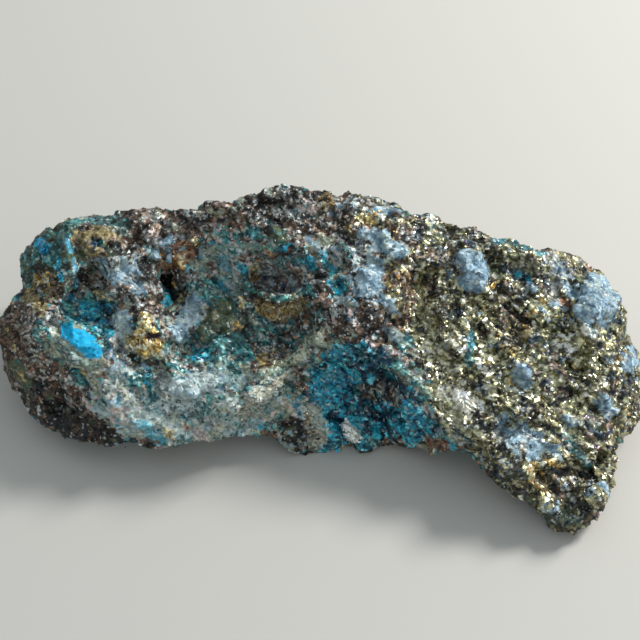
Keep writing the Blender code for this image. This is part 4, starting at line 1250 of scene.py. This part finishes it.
def faceted_normal(tree, place, size, tilt, strength):
    """The normal, tilted from facet to facet, with a rough grain."""
    facets = crystal_colours(tree, place, size)
    lean = vector_node(tree, "MULTIPLY_ADD", facets, (tilt,) * 3, (-tilt / 2,) * 3)
    normal = add_node(tree, "ShaderNodeNewGeometry", {})["Normal"]
    leaning = vector_node(tree, "NORMALIZE", vector_node(tree, "ADD", normal, lean))
    inputs = {
        "Strength": strength,
        "Distance": ROUGH_GRAIN_HEIGHT * MM,
        "Height": noise_node(tree, place, *ROUGH_GRAIN),
        "Normal": leaning,
    }
    return add_node(tree, "ShaderNodeBump", inputs)["Normal"]


def ore_material(name, facet_size, facet_tilt, bump_strength):
    """Ore coloured by its vertices, with speckle, fine crystal facets and a rough grain."""
    material = bpy.data.materials.new(name)
    material.use_nodes = True
    tree = material.node_tree
    place = streaked_place(tree)
    dulling = ranged(tree, noise_node(tree, place, *DULLING), *DULLING_RANGE)
    looks = {
        "Base Color": speckled_colour(tree, place),
        "Metallic": attribute(tree, "metal"),
        "Roughness": math_node(tree, "ADD", attribute(tree, "gloss"), dulling),
        "Normal": faceted_normal(tree, place, facet_size, facet_tilt, bump_strength),
    }
    for socket, look in looks.items():
        tree.links.new(look, tree.nodes["Principled BSDF"].inputs[socket])
    return material


# Stage, light and camera.
def add_floor():
    """A plain pale floor."""
    mesh = bpy.data.meshes.new("floor")
    bm = bmesh.new()
    bmesh.ops.create_grid(bm, x_segments=1, y_segments=1, size=FLOOR_SIZE / 2)
    bm.to_mesh(mesh)
    bm.free()
    paint = bpy.data.materials.new("floor")
    paint.use_nodes = True
    shader = paint.node_tree.nodes["Principled BSDF"]
    shader.inputs["Base Color"].default_value = (*FLOOR_COLOUR, 1)
    shader.inputs["Roughness"].default_value = FLOOR_ROUGHNESS
    mesh.materials.append(paint)
    floor = add_object("floor", mesh)


def add_key_light():
    """A low soft light from the right."""
    lamp = bpy.data.lights.new("key", "AREA")
    lamp.energy = KEY_POWER
    lamp.size = KEY_SIZE
    key = add_object("key", lamp)
    key.location = KEY_PLACE
    key.rotation_euler = (-KEY_PLACE).to_track_quat("-Z", "Y").to_euler()


def add_sky():
    """A pale sky, dim on the side away from the key light."""
    world = bpy.data.worlds.new("sky")
    world.use_nodes = True
    tree = world.node_tree
    sky = tree.nodes["Background"]
    sky.inputs["Color"].default_value = (*SKY_COLOUR, 1)
    way = add_node(tree, "ShaderNodeTexCoord", {})["Generated"]
    toward = vector_node(tree, "DOT_PRODUCT", way, KEY_PLACE.normalized(), output="Value")
    tree.links.new(ranged(tree, toward, *SKY_TURN, *SKY_STRENGTH), sky.inputs["Strength"])
    bpy.context.scene.world = world


def add_camera():
    """The camera at the photograph's viewing angle, with plain colours."""
    lens = bpy.data.cameras.new("camera")
    lens.sensor_width = SENSOR
    lens.lens = SENSOR * VIEW_DISTANCE / VIEW_WIDTH
    camera = add_object("camera", lens)
    camera.location = (VIEW_TARGET + VIEW_TO_CAMERA * VIEW_DISTANCE) * MM
    camera.rotation_euler = (math.pi / 2 - VIEW_ELEVATION, 0, 0)
    bpy.context.scene.camera = camera
    bpy.context.scene.view_settings.view_transform = "Standard"


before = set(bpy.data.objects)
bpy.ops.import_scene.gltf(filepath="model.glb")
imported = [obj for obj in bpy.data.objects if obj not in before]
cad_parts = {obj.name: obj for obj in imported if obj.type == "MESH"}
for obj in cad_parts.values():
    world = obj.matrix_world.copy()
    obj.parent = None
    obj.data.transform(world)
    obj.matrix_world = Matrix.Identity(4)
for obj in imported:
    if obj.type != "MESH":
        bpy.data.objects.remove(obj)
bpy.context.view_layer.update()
rng = np.random.default_rng(SEED)
add_camera()
add_floor()
add_key_light()
add_sky()

ore_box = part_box("peacock_ore")
surface = fine_copy(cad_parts["peacock_ore"])
facing_camera = break_surface(surface, rng, ore_box)
grains = scatter_grains(surface, facing_camera, ore_box, rng)
surface.data.materials.append(ore_material("ore_surface", *SURFACE_FACETS))
surface_back = part_back(surface, facing_camera)
lay_on_sheets(surface.data, FRONT_SHEETS)
lay_on_sheets(surface_back.data, BACK_SHEETS)
for piece in grains:
    piece.data.materials.append(ore_material(piece.name, *GRAIN_FACETS))
    lay_in_cells(piece.data)
for piece in [surface, surface_back, *grains]:
    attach(piece, "root")
for piece in [surface, surface_back]:
    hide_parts("peacock_ore")
